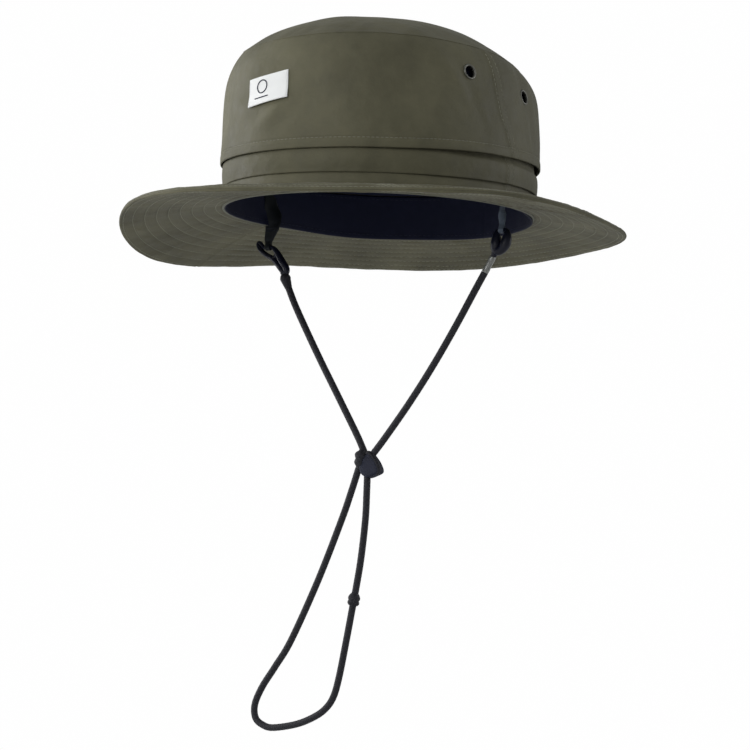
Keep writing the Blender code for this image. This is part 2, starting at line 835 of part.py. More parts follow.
def main():
    clear_scene()
    panels = make_crown()
    make_lining()
    make_sweatband()
    make_brim()
    make_eyelets(panels)
    make_label()
    make_tab("webbing_tab_left", PIVOT_X, 0.0050, "webbing")
    make_tab("webbing_tab_right", -PIVOT_X, 0.0120, "webbing")

    hinge = in_strap_plane(0.0, PIVOT_Z)
    strap = pivot("chin_strap_hinge", hinge)
    swinging = [
        make_left_hook(),
        make_right_hook(),
        make_sleeve("left", 0.0021, None, "sleeve"),
        make_sleeve("right", 0.0030, 0.0021, "cord"),
        make_knot(),
    ]
    swinging += [make_cord(name, route) for name, route in CORD_ROUTES.items()]
    for piece in swinging:
        hang(piece, strap, hinge)
    slider = pivot("slider_middle", SLIDER_MIDDLE - hinge, strap)
    for piece in (make_slider(), make_collar("slider_collar", 0.0)):
        hang(piece, slider, SLIDER_MIDDLE)


main()
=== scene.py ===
"""The looks of the boonie hat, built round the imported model.

Metres, in the model's frame: +X is the wearer's left, -Y the front and +Z up. The origin is the middle of
the head opening. Angles run anticlockwise about +Z from +X in degrees, so the front is at 270.
"""
import math

import bmesh
import bpy
import numpy as np
from mathutils import Matrix, Vector


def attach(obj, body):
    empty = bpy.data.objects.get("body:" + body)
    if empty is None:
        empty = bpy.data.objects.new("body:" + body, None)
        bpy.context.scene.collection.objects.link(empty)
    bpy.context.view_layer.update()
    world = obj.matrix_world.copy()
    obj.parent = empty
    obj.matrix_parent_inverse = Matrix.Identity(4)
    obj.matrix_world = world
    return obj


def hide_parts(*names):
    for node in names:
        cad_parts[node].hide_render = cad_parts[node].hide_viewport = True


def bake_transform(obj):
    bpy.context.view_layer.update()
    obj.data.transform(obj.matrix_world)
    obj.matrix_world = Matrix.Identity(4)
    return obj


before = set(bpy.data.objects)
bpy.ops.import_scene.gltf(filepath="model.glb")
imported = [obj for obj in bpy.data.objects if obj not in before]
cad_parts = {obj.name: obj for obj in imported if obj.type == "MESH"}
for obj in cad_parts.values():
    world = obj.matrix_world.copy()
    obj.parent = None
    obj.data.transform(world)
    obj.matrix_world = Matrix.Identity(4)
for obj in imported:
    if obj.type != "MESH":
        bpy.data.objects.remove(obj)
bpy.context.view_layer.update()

# The head opening, one layer of cloth, and the chin strap, as in the model
HEAD_HALF_WIDTH = 0.084
HEAD_HALF_LENGTH = 0.100
WALL_RADIUS = 0.092
CLOTH = 0.0005
STRAP_Y = 0.005
PIVOT_X = 0.0823
PIVOT_Z = -0.014
CORD_RADIUS = 0.002
BRAID_BUNDLES = 4
BRAID_PITCH = 0.012
MM = 0.001


# ---------------------------------------------------------------- stage

CAMERA_PLACE = Vector((1.0230, -1.4610, -0.2437))
CAMERA_TARGET = Vector((-0.0002, 0.0, -0.0934))
CAMERA_ROLL = math.radians(0.835)
CAMERA_LENS = 149.28
# Name, angle round the hat, distance, height, size and watts
LIGHTS = (
    ("left", 192, 1.6, 0.35, (0.9, 1.3), 21),
    ("right", 48, 1.7, 0.30, (0.8, 1.2), 9),
    ("front", 268, 1.8, 0.35, (1.2, 0.9), 17),
    ("top", 250, 0.9, 1.6, (1.2, 1.2), 6),
)
LIT_POINT = Vector((0, 0, 0.03))
FLOOR_Z = -0.42
AMBIENT = 0.34


def linked(name, data):
    made = bpy.data.objects.new(name, data)
    bpy.context.scene.collection.objects.link(made)
    return made


def make_camera():
    """The photograph's view, from a little below the hat's front left."""
    data = bpy.data.cameras.new("camera")
    data.sensor_width = 36.0
    data.lens = CAMERA_LENS
    data.clip_end = 60.0
    camera = linked("camera", data)
    forward = (CAMERA_TARGET - CAMERA_PLACE).normalized()
    level = forward.cross(Vector((0, 0, 1))).normalized()
    right = math.cos(CAMERA_ROLL) * level + math.sin(CAMERA_ROLL) * level.cross(forward)
    turn = Matrix((right, right.cross(forward), -forward)).transposed()
    camera.matrix_world = Matrix.Translation(CAMERA_PLACE) @ turn.to_4x4()
    bpy.context.scene.camera = camera


def make_lights():
    for name, angle, distance, height, size, power in LIGHTS:
        data = bpy.data.lights.new(name, "AREA")
        data.shape = "RECTANGLE"
        data.size, data.size_y = size
        data.energy = power
        light = linked(name, data)
        turn = math.radians(angle)
        light.location = (distance * math.cos(turn), distance * math.sin(turn), height)
        light.rotation_euler = (LIT_POINT - light.location).to_track_quat("-Z", "Y").to_euler()


def make_stage():
    """A pale floor under the hat, a white surround that lights nothing, and a faint even light."""
    scene = bpy.context.scene
    scene.view_settings.view_transform = "Standard"
    world = bpy.data.worlds.new("studio")
    world.use_nodes = True
    fill(world.node_tree, world.node_tree.nodes["Background"], Color=(0.97, 0.985, 1, 1), Strength=AMBIENT)
    scene.world = world

    bm = bmesh.new()
    bmesh.ops.create_circle(bm, cap_ends=True, segments=96, radius=2.2)
    pale, tree, shader = new_material("floor")
    fill(tree, shader, Base_Color=(0.72, 0.72, 0.72, 1), Roughness=0.7)
    floor = plain_object("floor", bm, pale)
    floor.location = (0, 0, FLOOR_Z)
    bm = bmesh.new()
    bmesh.ops.create_uvsphere(bm, u_segments=48, v_segments=24, radius=12.0)
    white, tree, _ = new_material("surround")
    tree.nodes.clear()
    glow = node(tree, "Emission", Color=(0.995, 0.995, 0.995, 1))
    node(tree, "OutputMaterial", Surface=glow.outputs[0])
    surround = plain_object("surround", bm, white)
    surround.visible_diffuse = surround.visible_glossy = False
    surround.visible_transmission = surround.visible_shadow = False


def plain_object(name, bm, material):
    mesh = bpy.data.meshes.new(name)
    bm.to_mesh(mesh)
    bm.free()
    mesh.materials.append(material)
    return linked(name, mesh)


def belongs(piece, body, slot, *nodes):
    """Gives a piece its body and hides the model's nodes that it stands for; slot is not used."""
    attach(piece, body)
    if nodes:
        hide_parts(*nodes)
    return piece


# ---------------------------------------------------------------- meshes from arrays


def unit(vectors):
    return vectors / np.linalg.norm(vectors, axis=-1, keepdims=True)


def run_lengths(path):
    """How far along a path each of its points is."""
    return np.concatenate([[0], np.cumsum(np.linalg.norm(np.diff(path, axis=0), axis=1))])


def spun(turn, across, up):
    """Directions at these turns, in radians, from one direction towards another."""
    return np.cos(turn)[..., None] * across + np.sin(turn)[..., None] * up


def out_and_back(out, back):
    """Rows that run out along one face and back along the other."""
    return np.concatenate([out, back[:, ::-1]], 1)


def closed_rows(rows):
    return np.concatenate([rows, rows[:, :1]], 1)


def mesh_from(name, points, faces, uvs, material):
    """An object from an (n, 3) array, arrays (m, k) of faces and, for each, (m, k, 2) UVs in metres."""
    mesh = bpy.data.meshes.new(name)
    mesh.from_pydata(points, [], [face for group in faces for face in group.tolist()], shade_flat=False)
    if uvs is not None:
        layer = mesh.uv_layers.new(name="cloth")
        layer.data.foreach_set("uv", np.concatenate([u.reshape(-1) for u in uvs]).astype(np.float32))
    mesh.validate()
    mesh.materials.append(material)
    return linked(name, mesh)


def face_out(made):
    """Turns the faces of a closed body outwards."""
    bm = bmesh.new()
    bm.from_mesh(made.data)
    bmesh.ops.recalc_face_normals(bm, faces=bm.faces)
    if bm.calc_volume(signed=True) < 0:
        bmesh.ops.reverse_faces(bm, faces=bm.faces)
    bm.to_mesh(made.data)
    bm.free()
    return made


def grid_quads(rows, columns, wrap_rows, wrap_columns):
    """A grid's quads, and the same quads in the grid with its wrapped lines written twice."""
    i, j = np.meshgrid(
        np.arange(rows - (not wrap_rows)), np.arange(columns - (not wrap_columns)), indexing="ij"
    )
    corners = [(i, j), (i, j + 1), (i + 1, j + 1), (i + 1, j)]
    quads = np.stack([(a % rows) * columns + b % columns for a, b in corners], -1)
    spread = np.stack([a * (columns + wrap_columns) + b for a, b in corners], -1)
    return quads.reshape(-1, 4), spread.reshape(-1, 4)


def loft(name, rings, wrap, material, uv):
    """A closed body through closed loops of points, an array (stations, points, 3). Open ends get caps.

    Each loop runs out along one face and back along the other, so a cap joins its two halves. uv has one
    more point in each loop, and one more loop where the stations wrap round.
    """
    rings = np.asarray(rings, float)
    rows, columns = rings.shape[:2]
    quads, spread = grid_quads(rows, columns, wrap, True)
    uv = uv.reshape(-1, 2)
    faces, maps = [quads], [uv[spread]]
    if not wrap:
        k = np.arange(columns // 2 - 1)
        strip = np.stack([k, k + 1, columns - 2 - k, columns - 1 - k], -1)
        faces += [strip, (strip + (rows - 1) * columns)[:, ::-1]]
        maps += [uv[strip], uv[(strip + (rows - 1) * (columns + 1))[:, ::-1]]]
    return face_out(mesh_from(name, rings.reshape(-1, 3), faces, maps, material))


def frames_along(path):
    """Tangents and two normals at each point of a path, with no sudden twist."""
    tangents = unit(np.gradient(path, axis=0))
    first = np.cross(tangents[0], (0.0, 1.0, 0.0))
    if np.linalg.norm(first) < 0.1:
        first = np.cross(tangents[0], (1.0, 0.0, 0.0))
    normals = [unit(first)]
    for tangent in tangents[1:]:
        normals.append(unit(normals[-1] - tangent * (normals[-1] @ tangent)))
    return tangents, np.array(normals), np.cross(tangents, normals)


def tube(name, path, radius, material, sides, shape=None, wrap=False, round_ends=True):
    """A round rod along a path. shape(u, turn) may change its radius; u is the length along it."""
    tangents, across, up = frames_along(path)
    u = run_lengths(path)
    turn = np.arange(sides) * math.tau / sides
    reach = np.broadcast_to(np.reshape(radius, (-1, 1)), (len(path), sides))
    if shape:
        reach = reach * shape(u[:, None], turn[None])
    rings = path[:, None] + reach[..., None] * spun(turn, across[:, None], up[:, None])
    if round_ends and not wrap:
        ends = []
        for index, sign in ((0, -1), (-1, 1)):
            push = sign * tangents[index] * np.mean(reach[index]) * 0.6
            more = [
                path[index] + push * math.sin(bend) + (rings[index] - path[index]) * math.cos(bend)
                for bend in (0.5, 1.0, 1.4)
            ]
            ends.append(np.stack(more[::sign]))
        rings = np.concatenate([ends[0], rings, ends[1]])
    rows = len(rings)
    quads, spread = grid_quads(rows, sides, wrap, True)
    length = np.append(run_lengths(rings.mean(1)), u[-1])[: rows + wrap]
    girth = np.arange(sides + 1) * math.tau * np.mean(radius) / sides
    uv = np.stack(np.broadcast_arrays(length[:, None], girth[None]), -1).reshape(-1, 2)
    faces, maps = [quads], [uv[spread]]
    if not wrap:
        cap = np.arange(sides)[None]
        faces += [cap[:, ::-1], cap + (rows - 1) * sides]
        maps += [np.zeros((1, sides, 2))] * 2
    return face_out(mesh_from(name, rings.reshape(-1, 3), faces, maps, material))


def smooth_path(points, spacing, closed=False):
    """Evenly spaced points on a smooth curve through the given ones.

    A closed curve doesn't repeat its first point. Columns after the third, such as a radius, come along.
    """
    points = np.asarray(points, float)
    ends = (points[-1:], points[:2])
    if not closed:
        ends = (2 * points[:1] - points[1:2], 2 * points[-1:] - points[-2:-1])
    padded = np.concatenate([ends[0], points, ends[1]])
    fine = []
    for a, b, c, d in zip(padded, padded[1:], padded[2:], padded[3:]):
        for t in np.arange(24) / 24:
            cubic = (2 * a - 5 * b + 4 * c - d) * t**2 + (3 * b - a - 3 * c + d) * t**3
            fine.append(0.5 * (2 * b + (c - a) * t + cubic))
    fine = np.array([*fine, padded[-2]])
    lengths = run_lengths(fine[:, :3])
    wanted = np.linspace(0, lengths[-1], max(2, round(lengths[-1] / spacing)) + 1)
    found = np.stack([np.interp(wanted, lengths, column) for column in fine.T], -1)
    return found[:-1] if closed else found


# ---------------------------------------------------------------- chin cord

CORD_ROUTES = {
    "chin_cord_left": (
        (0.0712, -0.0372), (0.0658, -0.0454), (0.0511, -0.0681), (0.0358, -0.0901), (0.0201, -0.1105),
        (0.0040, -0.1295), (-0.0032, -0.1374),
    ),
    "chin_cord_right": (
        (-0.0669, -0.0390), (-0.0605, -0.0520), (-0.0447, -0.0796), (-0.0289, -0.1056), (-0.0161, -0.1268),
        (-0.0110, -0.1362),
    ),
    "chin_cord_loop": (
        (-0.0142, -0.1466), (-0.0192, -0.1600), (-0.0258, -0.1763), (-0.0420, -0.2114), (-0.0607, -0.2462),
        (-0.0722, -0.2620), (-0.0812, -0.2737), (-0.0864, -0.2840), (-0.0858, -0.2918), (-0.0806, -0.2958),
        (-0.0728, -0.2973), (-0.0563, -0.2949), (-0.0439, -0.2906), (-0.0355, -0.2856), (-0.0298, -0.2786),
        (-0.0259, -0.2670), (-0.0211, -0.2456), (-0.0171, -0.2266),
    ),
    "chin_cord_return": (
        (-0.0154, -0.2186), (-0.0118, -0.1995), (-0.0090, -0.1765), (-0.0083, -0.1600), (-0.0081, -0.1516),
    ),
}


def strap_points(route):
    return np.array([(x, STRAP_Y, z) for x, z in route])


def braid(u, turn):
    """The plaited surface of a round cord: bundles that wind each way, over and under one another."""
    wind = math.tau * u / BRAID_PITCH
    ridges = [np.abs(np.cos(BRAID_BUNDLES * (turn + way * wind) / 2)) for way in (1, -1)]
    return 0.95 + 0.06 * np.maximum(*ridges)


def make_cords(material):
    for name, route in CORD_ROUTES.items():
        points = strap_points(route)
        path = smooth_path(points, 0.00045)
        piece = tube(f"looks_{name}", path, CORD_RADIUS, material, 24, braid, round_ends=False)
        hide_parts(name)
        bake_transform(piece)
        smooth_path(points, 0.004)


# ---------------------------------------------------------------- materials


def fill(tree, made, **inputs):
    """Links or sets the inputs of a node. i0 and so on name inputs by number."""
    for key, value in inputs.items():
        socket = made.inputs[int(key[1:])] if key[1:].isdigit() else made.inputs[key.replace("_", " ")]
        if isinstance(value, bpy.types.NodeSocket):
            tree.links.new(value, socket)
        else:
            socket.default_value = value
    return made


def node(tree, kind, settings=None, **inputs):
    made = tree.nodes.new("ShaderNode" + kind)
    for key, value in (settings or {}).items():
        setattr(made, key, value)
    return fill(tree, made, **inputs)


def maths(tree, operation, a, b=0.0):
    return node(tree, "Math", {"operation": operation}, i0=a, i1=b).outputs[0]


def noise(tree, vector, scale, detail=3.0, roughness=0.5):
    made = node(tree, "TexNoise", Vector=vector, Scale=scale, Detail=detail, Roughness=roughness)
    return made.outputs["Fac"]


def ranged(tree, value, low, high, out_low, out_high):
    made = node(tree, "MapRange", i0=value, i1=low, i2=high, i3=out_low, i4=out_high)
    return made.outputs[0]


def weighted(tree, *pairs):
    """The sum of some values times their weights."""
    total, *others = [maths(tree, "MULTIPLY", value, weight) for value, weight in pairs]
    for other in others:
        total = maths(tree, "ADD", total, other)
    return total


def tinted(tree, factor, dark, light):
    """A colour between two, by a factor."""
    made = node(tree, "Mix", {"data_type": "RGBA"}, i0=factor, i6=(*dark, 1), i7=(*light, 1))
    return made.outputs[2]


def new_material(name):
    made = bpy.data.materials.new(name)
    made.use_nodes = True
    return made, made.node_tree, made.node_tree.nodes["Principled BSDF"]


def shade(colour, factor):
    return tuple(channel * factor for channel in colour)


def bumped(tree, shader, layers):
    """Chains bumps of (height, strength, distance) into the shader's normal."""
    normal = None
    for height, strength, distance in layers:
        made = node(tree, "Bump", Height=height, Strength=strength, Distance=distance)
        if normal:
            tree.links.new(normal, made.inputs["Normal"])
        normal = made.outputs[0]
    tree.links.new(normal, shader.inputs["Normal"])


def cloth_axes(tree):
    """How far along and across the cloth a point is, in metres."""
    uv = node(tree, "UVMap", {"uv_map": "cloth"}).outputs[0]
    return node(tree, "SeparateXYZ", i0=uv).outputs[:2]


def cloth_material(name, colour, roughness, sheen, thread=0.0004, crinkle=0.0, mottle=0.10):
    """Woven cloth: a plain weave over the cloth's own UVs, fine crinkles, and uneven dye."""
    made, tree, shader = new_material(name)
    place = node(tree, "TexCoord").outputs["Object"]
    rows = [maths(tree, "MULTIPLY", axis, math.pi / thread) for axis in cloth_axes(tree)]
    waves = [maths(tree, "SINE", row) for row in rows]
    weave = maths(tree, "MULTIPLY", *waves)
    broad = noise(tree, place, 22.0, 2.0)
    patches = noise(tree, place, 140.0, 3.0)
    fibres = noise(tree, place, 2600.0, 2.0, 0.7)
    worn = weighted(tree, (broad, 0.6), (patches, 0.25), (fibres, 0.15), (weave, 0.03))
    factor = ranged(tree, worn, 0.35, 0.65, 0.0, 1.0)
    fill(
        tree, shader,
        Base_Color=tinted(tree, factor, shade(colour, 1 - mottle), shade(colour, 1 + mottle)),
        Roughness=ranged(tree, patches, 0.3, 0.7, roughness - 0.06, roughness + 0.06),
        Specular_IOR_Level=0.15, Sheen_Weight=sheen, Sheen_Roughness=0.4, Sheen_Tint=(0.75, 0.78, 0.70, 1),
    )
    creased = noise(tree, place, 75.0, 4.0, 0.45)
    bumped(tree, shader, [(creased, crinkle, 0.0012), (weave, 0.35, 0.00005), (fibres, 0.2, 0.00006)])
    return made


def cord_material(name):
    """Plaited polyester: dark bundles each way, with a lighter tracer thread in some of them."""
    made, tree, shader = new_material(name)
    along, girth = cloth_axes(tree)
    run = maths(tree, "MULTIPLY", along, math.tau * BRAID_BUNDLES / BRAID_PITCH)
    turn = maths(tree, "MULTIPLY", girth, BRAID_BUNDLES / CORD_RADIUS)
    waves = [maths(tree, "SINE", maths(tree, way, turn, run)) for way in ("ADD", "SUBTRACT")]
    plait = maths(tree, "MAXIMUM", *waves)
    place = node(tree, "TexCoord").outputs["Object"]
    fuzz = noise(tree, place, 2200.0, 2.0, 0.7)
    worn = noise(tree, place, 160.0, 2.0)
    tracer = ranged(tree, plait, 0.2, 1.0, 0.0, 0.45)
    factor = maths(tree, "MULTIPLY", tracer, ranged(tree, fuzz, 0.3, 0.7, 0.6, 1.1))
    factor = maths(tree, "ADD", factor, ranged(tree, worn, 0.4, 0.7, 0.0, 0.2))
    colour = tinted(tree, factor, (0.006, 0.006, 0.009), (0.018, 0.019, 0.026))
    fill(tree, shader, Base_Color=colour, Roughness=0.72, Specular_IOR_Level=0.3, Sheen_Weight=0.05)
    bumped(tree, shader, [(plait, 0.3, 0.00012), (fuzz, 0.2, 0.00006)])
    return made


def glossy_material(name, colour, roughness, metallic=0.0, coat=0.0, specular=0.5):
    """Moulded plastic, rubber or metal, with faint scuffs and uneven gloss."""
    made, tree, shader = new_material(name)
    place = node(tree, "TexCoord").outputs["Object"]
    clouds = noise(tree, place, 260.0, 3.0)
    scuffs = noise(tree, place, 1500.0, 4.0, 0.7)
    factor = ranged(tree, weighted(tree, (clouds, 0.7), (scuffs, 0.3)), 0.35, 0.65, 0.0, 1.0)
    fill(
        tree, shader,
        Base_Color=tinted(tree, factor, shade(colour, 0.82), shade(colour, 1.22)),
        Roughness=ranged(tree, scuffs, 0.3, 0.7, roughness - 0.05, roughness + 0.10),
        Metallic=metallic, Specular_IOR_Level=specular, Coat_Weight=coat, Coat_Roughness=0.08,
    )
    bumped(tree, shader, [(scuffs, 0.12, 0.00008)])
    return made


def give_material(node_name, material):
    """Sets the material of a piece carried over from the model."""
    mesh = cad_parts[node_name].data
    mesh.materials.clear()
    mesh.materials.append(material)


# ---------------------------------------------------------------- shapes of the hat


def ellipse_points(angle, offset, height):
    """Points at these angles on the head ellipse, moved out by the offset."""
    angle, offset, height = np.broadcast_arrays(angle, offset, height)
    turn = np.radians(angle)
    round_it = np.stack([np.cos(turn), np.sin(turn)], -1)
    half = np.array((HEAD_HALF_WIDTH, HEAD_HALF_LENGTH))
    level = half * round_it + offset[..., None] * unit(round_it / half)
    return np.concatenate([level, height[..., None]], -1)


def arc_from(angle, at, radius=WALL_RADIUS):
    """The distance round the hat from one angle to others, the short way."""
    return ((angle - at + 180) % 360 - 180) * math.radians(1) * radius


def bell(distance, width):
    """1 in the middle, falling smoothly to 0 about two widths away."""
    return np.exp(-((distance / width) ** 2))


def level_at(height):
    """An edge that stays at one height all the way round."""
    return lambda angle: height + 0 * angle


def round_wave(angle, middle):
    """1 at one angle round the hat, falling to -1 opposite it."""
    return np.cos(np.radians(angle - middle))


LATTICE = np.random.default_rng(11).random((24, 24, 24)) * 2 - 1


def drift(points, size, seed=0.0):
    """Smooth noise from -1 to 1 at points in space, with features about this size."""
    q = np.asarray(points, float) / size + 31.7 + 7.3 * seed
    cell = np.floor(q).astype(int)
    part = q - cell
    part = part * part * (3 - 2 * part)
    total = 0.0
    for corner in np.ndindex(2, 2, 2):
        weight = np.prod(np.where(np.array(corner), part, 1 - part), axis=-1)
        index = (cell + np.array(corner)) % 24
        total = total + weight * LATTICE[index[..., 0], index[..., 1], index[..., 2]]
    return total


def creases(angle, height):
    """How far the crown's soft folds stand out of its wall."""
    total = 0.0
    for at, level, lean, length, width, rise in CROWN_CREASES:
        x = arc_from(angle, at, WALL_RADIUS / MM)
        z = height / MM - level
        c, s = math.cos(math.radians(lean)), math.sin(math.radians(lean))
        total = total + rise * MM * bell(c * z + s * x, length) * bell(c * x - s * z, width)
    return total


def step_up(x, start, end):
    t = np.clip((x - start) / (end - start), 0, 1)
    return t * t * (3 - 2 * t)


# Outer faces of the layers where they meet the brim, and the angle where they sit closest to the head
SNUG_MOST = 215.0
CROWN_FACE = 0.0047
UPPER_BAND_FACE = 0.0028
LOWER_BAND_FACE = 0.0022
CROWN_BOTTOM = 0.0255
HEM_TILT = 0.00234
UPPER_BAND_BOTTOM = 0.0112
LEAN_START = 0.030
# Where the wall's lower edge lifts off the band: its middle, and the cosines between which it fades in
GAPE_MOST = 2.0
GAPE_REACH = (0.62, 0.95)


def snug(angle):
    """How far the layers are drawn towards the head: 2.4 mm at the front right, and nothing opposite."""
    return -0.0012 - 0.0012 * round_wave(angle, SNUG_MOST)


def waved(angle, mean, waves):
    """A size that changes smoothly round the hat, with waves of (waves per turn, cosine part, sine part)."""
    turn = np.radians(angle)
    return mean + sum(a * np.cos(n * turn) + b * np.sin(n * turn) for n, a, b in waves)


def drawn_in(angle):
    """How much of the way, from 0 to 1, the wall is drawn in on the wearer's right."""
    return np.clip(round_wave(angle, 208), 0, 1) ** 2


def crown_seam(angle):
    """The height of the seam between the crown's wall and its top, as in the model."""
    return waved(angle, 0.0893, ((1, -0.0033, 0.0009), (2, 0.0005, -0.0028)))


def side_seam(height):
    """The left side seam's angle at a height. It leans back towards the bottom; the right one mirrors it."""
    return np.interp(height, [0.0255, 0.032, 0.049, 0.065, 0.084, 0.092], [6.0, 4.2, -0.8, -2.6, -3.6, -4.2])


# (angle, height, lean from upright, length, width, rise), with the sizes in mm
CROWN_CREASES = (
    (228, 62, 4, 26, 4.5, 0.9), (236, 58, 3, 24, 4.5, -0.8), (268, 44, 52, 15, 4, 0.55),
    (275, 40, 52, 16, 4, -0.45), (322, 80, -38, 14, 6, -0.9), (338, 66, -35, 20, 4.5, 0.7),
    (344, 58, -30, 18, 4.5, -0.6), (350, 44, -24, 15, 4, 0.5), (14, 62, -8, 22, 4, 0.7),
    (14.3, 66, -4, 15, 6.0, -2.2), (347, 26, 90, 15, 4, 2.0), (20, 52, -6, 20, 4, -0.7),
    (330, 34, 78, 26, 3.0, 0.35), (300, 33, 86, 30, 3.0, 0.25), (60, 60, 6, 24, 6, 0.8),
    (95, 55, -8, 26, 7, -0.8), (120, 64, 10, 22, 5, 0.8), (150, 56, -5, 24, 6, 0.7),
    (190, 60, 8, 24, 5, 0.8), (205, 50, 4, 22, 5, -0.6),
)


def crown_offset(angle, height):
    """How far the crown's outer face stands off the head ellipse, with its folds."""
    rise = np.maximum((height - LEAN_START) / (crown_seam(angle) - LEAN_START), 0)
    tilt = waved(angle, 0.0048, ((1, -0.0014, -0.0017),))
    shoulder = waved(angle, 0.0059, ((1, 0.0024, -0.0008), (2, 0.0, 0.0014)))
    plain = CROWN_FACE + snug(angle) - tilt * rise - shoulder * rise**6
    plain = plain - 0.0016 * drawn_in(angle) * step_up(height, 0.072, 0.030)
    points = ellipse_points(angle, plain, height)
    slack = step_up(rise, 0.0, 0.3)
    soft = (0.0009 * drift(points, 0.034, 1) + 0.0004 * drift(points, 0.015, 2)) * slack
    return plain + soft + creases(angle, height) * (0.45 + 0.95 * slack)


def hem_height(angle):
    """The crown wall's folded lower edge. It lifts off the band beneath near the left side seam."""
    lift = 0.0011 * step_up(round_wave(angle, GAPE_MOST), *GAPE_REACH)
    return CROWN_BOTTOM + HEM_TILT * round_wave(angle, 90) + lift


def wall_uv(angle, height):
    """Cloth UVs in metres for a wall: round it and up it."""
    return closed_rows(np.stack(np.broadcast_arrays(np.radians(angle) * WALL_RADIUS, height), -1))


def plan_uv(rings):
    """Cloth UVs in metres for rings that go all the way round, seen from above."""
    uv = closed_rows(rings)[..., :2]
    return np.concatenate([uv, uv[:1]])


def dense_between(start, end, coarse, fine_ranges):
    """Stations from start to end a coarse step apart, closer in the given (from, to, step) ranges."""
    found = [start]
    while found[-1] < end - 1e-9:
        here = found[-1]
        step = min([coarse] + [s for a, b, s in fine_ranges if a <= here < b])
        found.append(min(here + step, end))
    return np.array(found)


# ---------------------------------------------------------------- thread

STITCH_SIDES = 5
# How much of the pitch a thread spans, and how far its ends go into the cloth, in radii
STITCH_SHARE = 0.78
STITCH_SINK = 0.55


def stitches(name, lines, pitch, radius, material, slot):
    """One object of many short threads, each a rounded rod with both ends sunk in the cloth.

    lines holds (points, outward normals); the threads follow them end to end.
    """
    along = np.array([0.0, 0.12, 0.5, 0.88, 1.0])
    thick = np.array([0.45, 0.95, 1.0, 0.95, 0.45])
    lift = np.array([-1.0, 0.1, 0.35, 0.1, -1.0])
    turn = np.arange(STITCH_SIDES) * math.tau / STITCH_SIDES
    every = []
    for points, normals in lines:
        lengths = run_lengths(points)
        count = int(lengths[-1] / pitch)
        first = (lengths[-1] - count * pitch) / 2 + np.arange(count) * pitch
        where = first[:, None] + along[None] * pitch * STITCH_SHARE
        spot, out = (
            np.stack([np.interp(where, lengths, values[:, k]) for k in range(3)], -1)
            for values in (points, normals)
        )
        out = unit(out)
        side = unit(np.cross(unit(spot[:, -1:] - spot[:, :1]), out))
        middle = spot + out * (lift * radius * STITCH_SINK * 2)[None, :, None]
        ring = spun(turn, side[:, :, None], out[:, :, None])
        every.append(middle[:, :, None] + ring * (thick * radius)[None, :, None, None])
    every = np.concatenate(every)
    total, rows, sides = every.shape[:3]
    quads, _ = grid_quads(rows, sides, False, True)
    base = (np.arange(total) * rows * sides)[:, None, None]
    cap = np.arange(sides)[None]
    faces = [quads[:, ::-1], cap, cap[:, ::-1] + (rows - 1) * sides]
    faces = [(face[None] + base).reshape(-1, face.shape[-1]) for face in faces]
    belongs(mesh_from(name, every.reshape(-1, 3), faces, None, material), "hat", slot)


# ---------------------------------------------------------------- walls: crown and bands

# The height where a panel's width is measured, and its rows of stitches, from the side seam
MID_HEIGHT = 0.055
SEAM_ROWS = (0.0014, 0.0062)


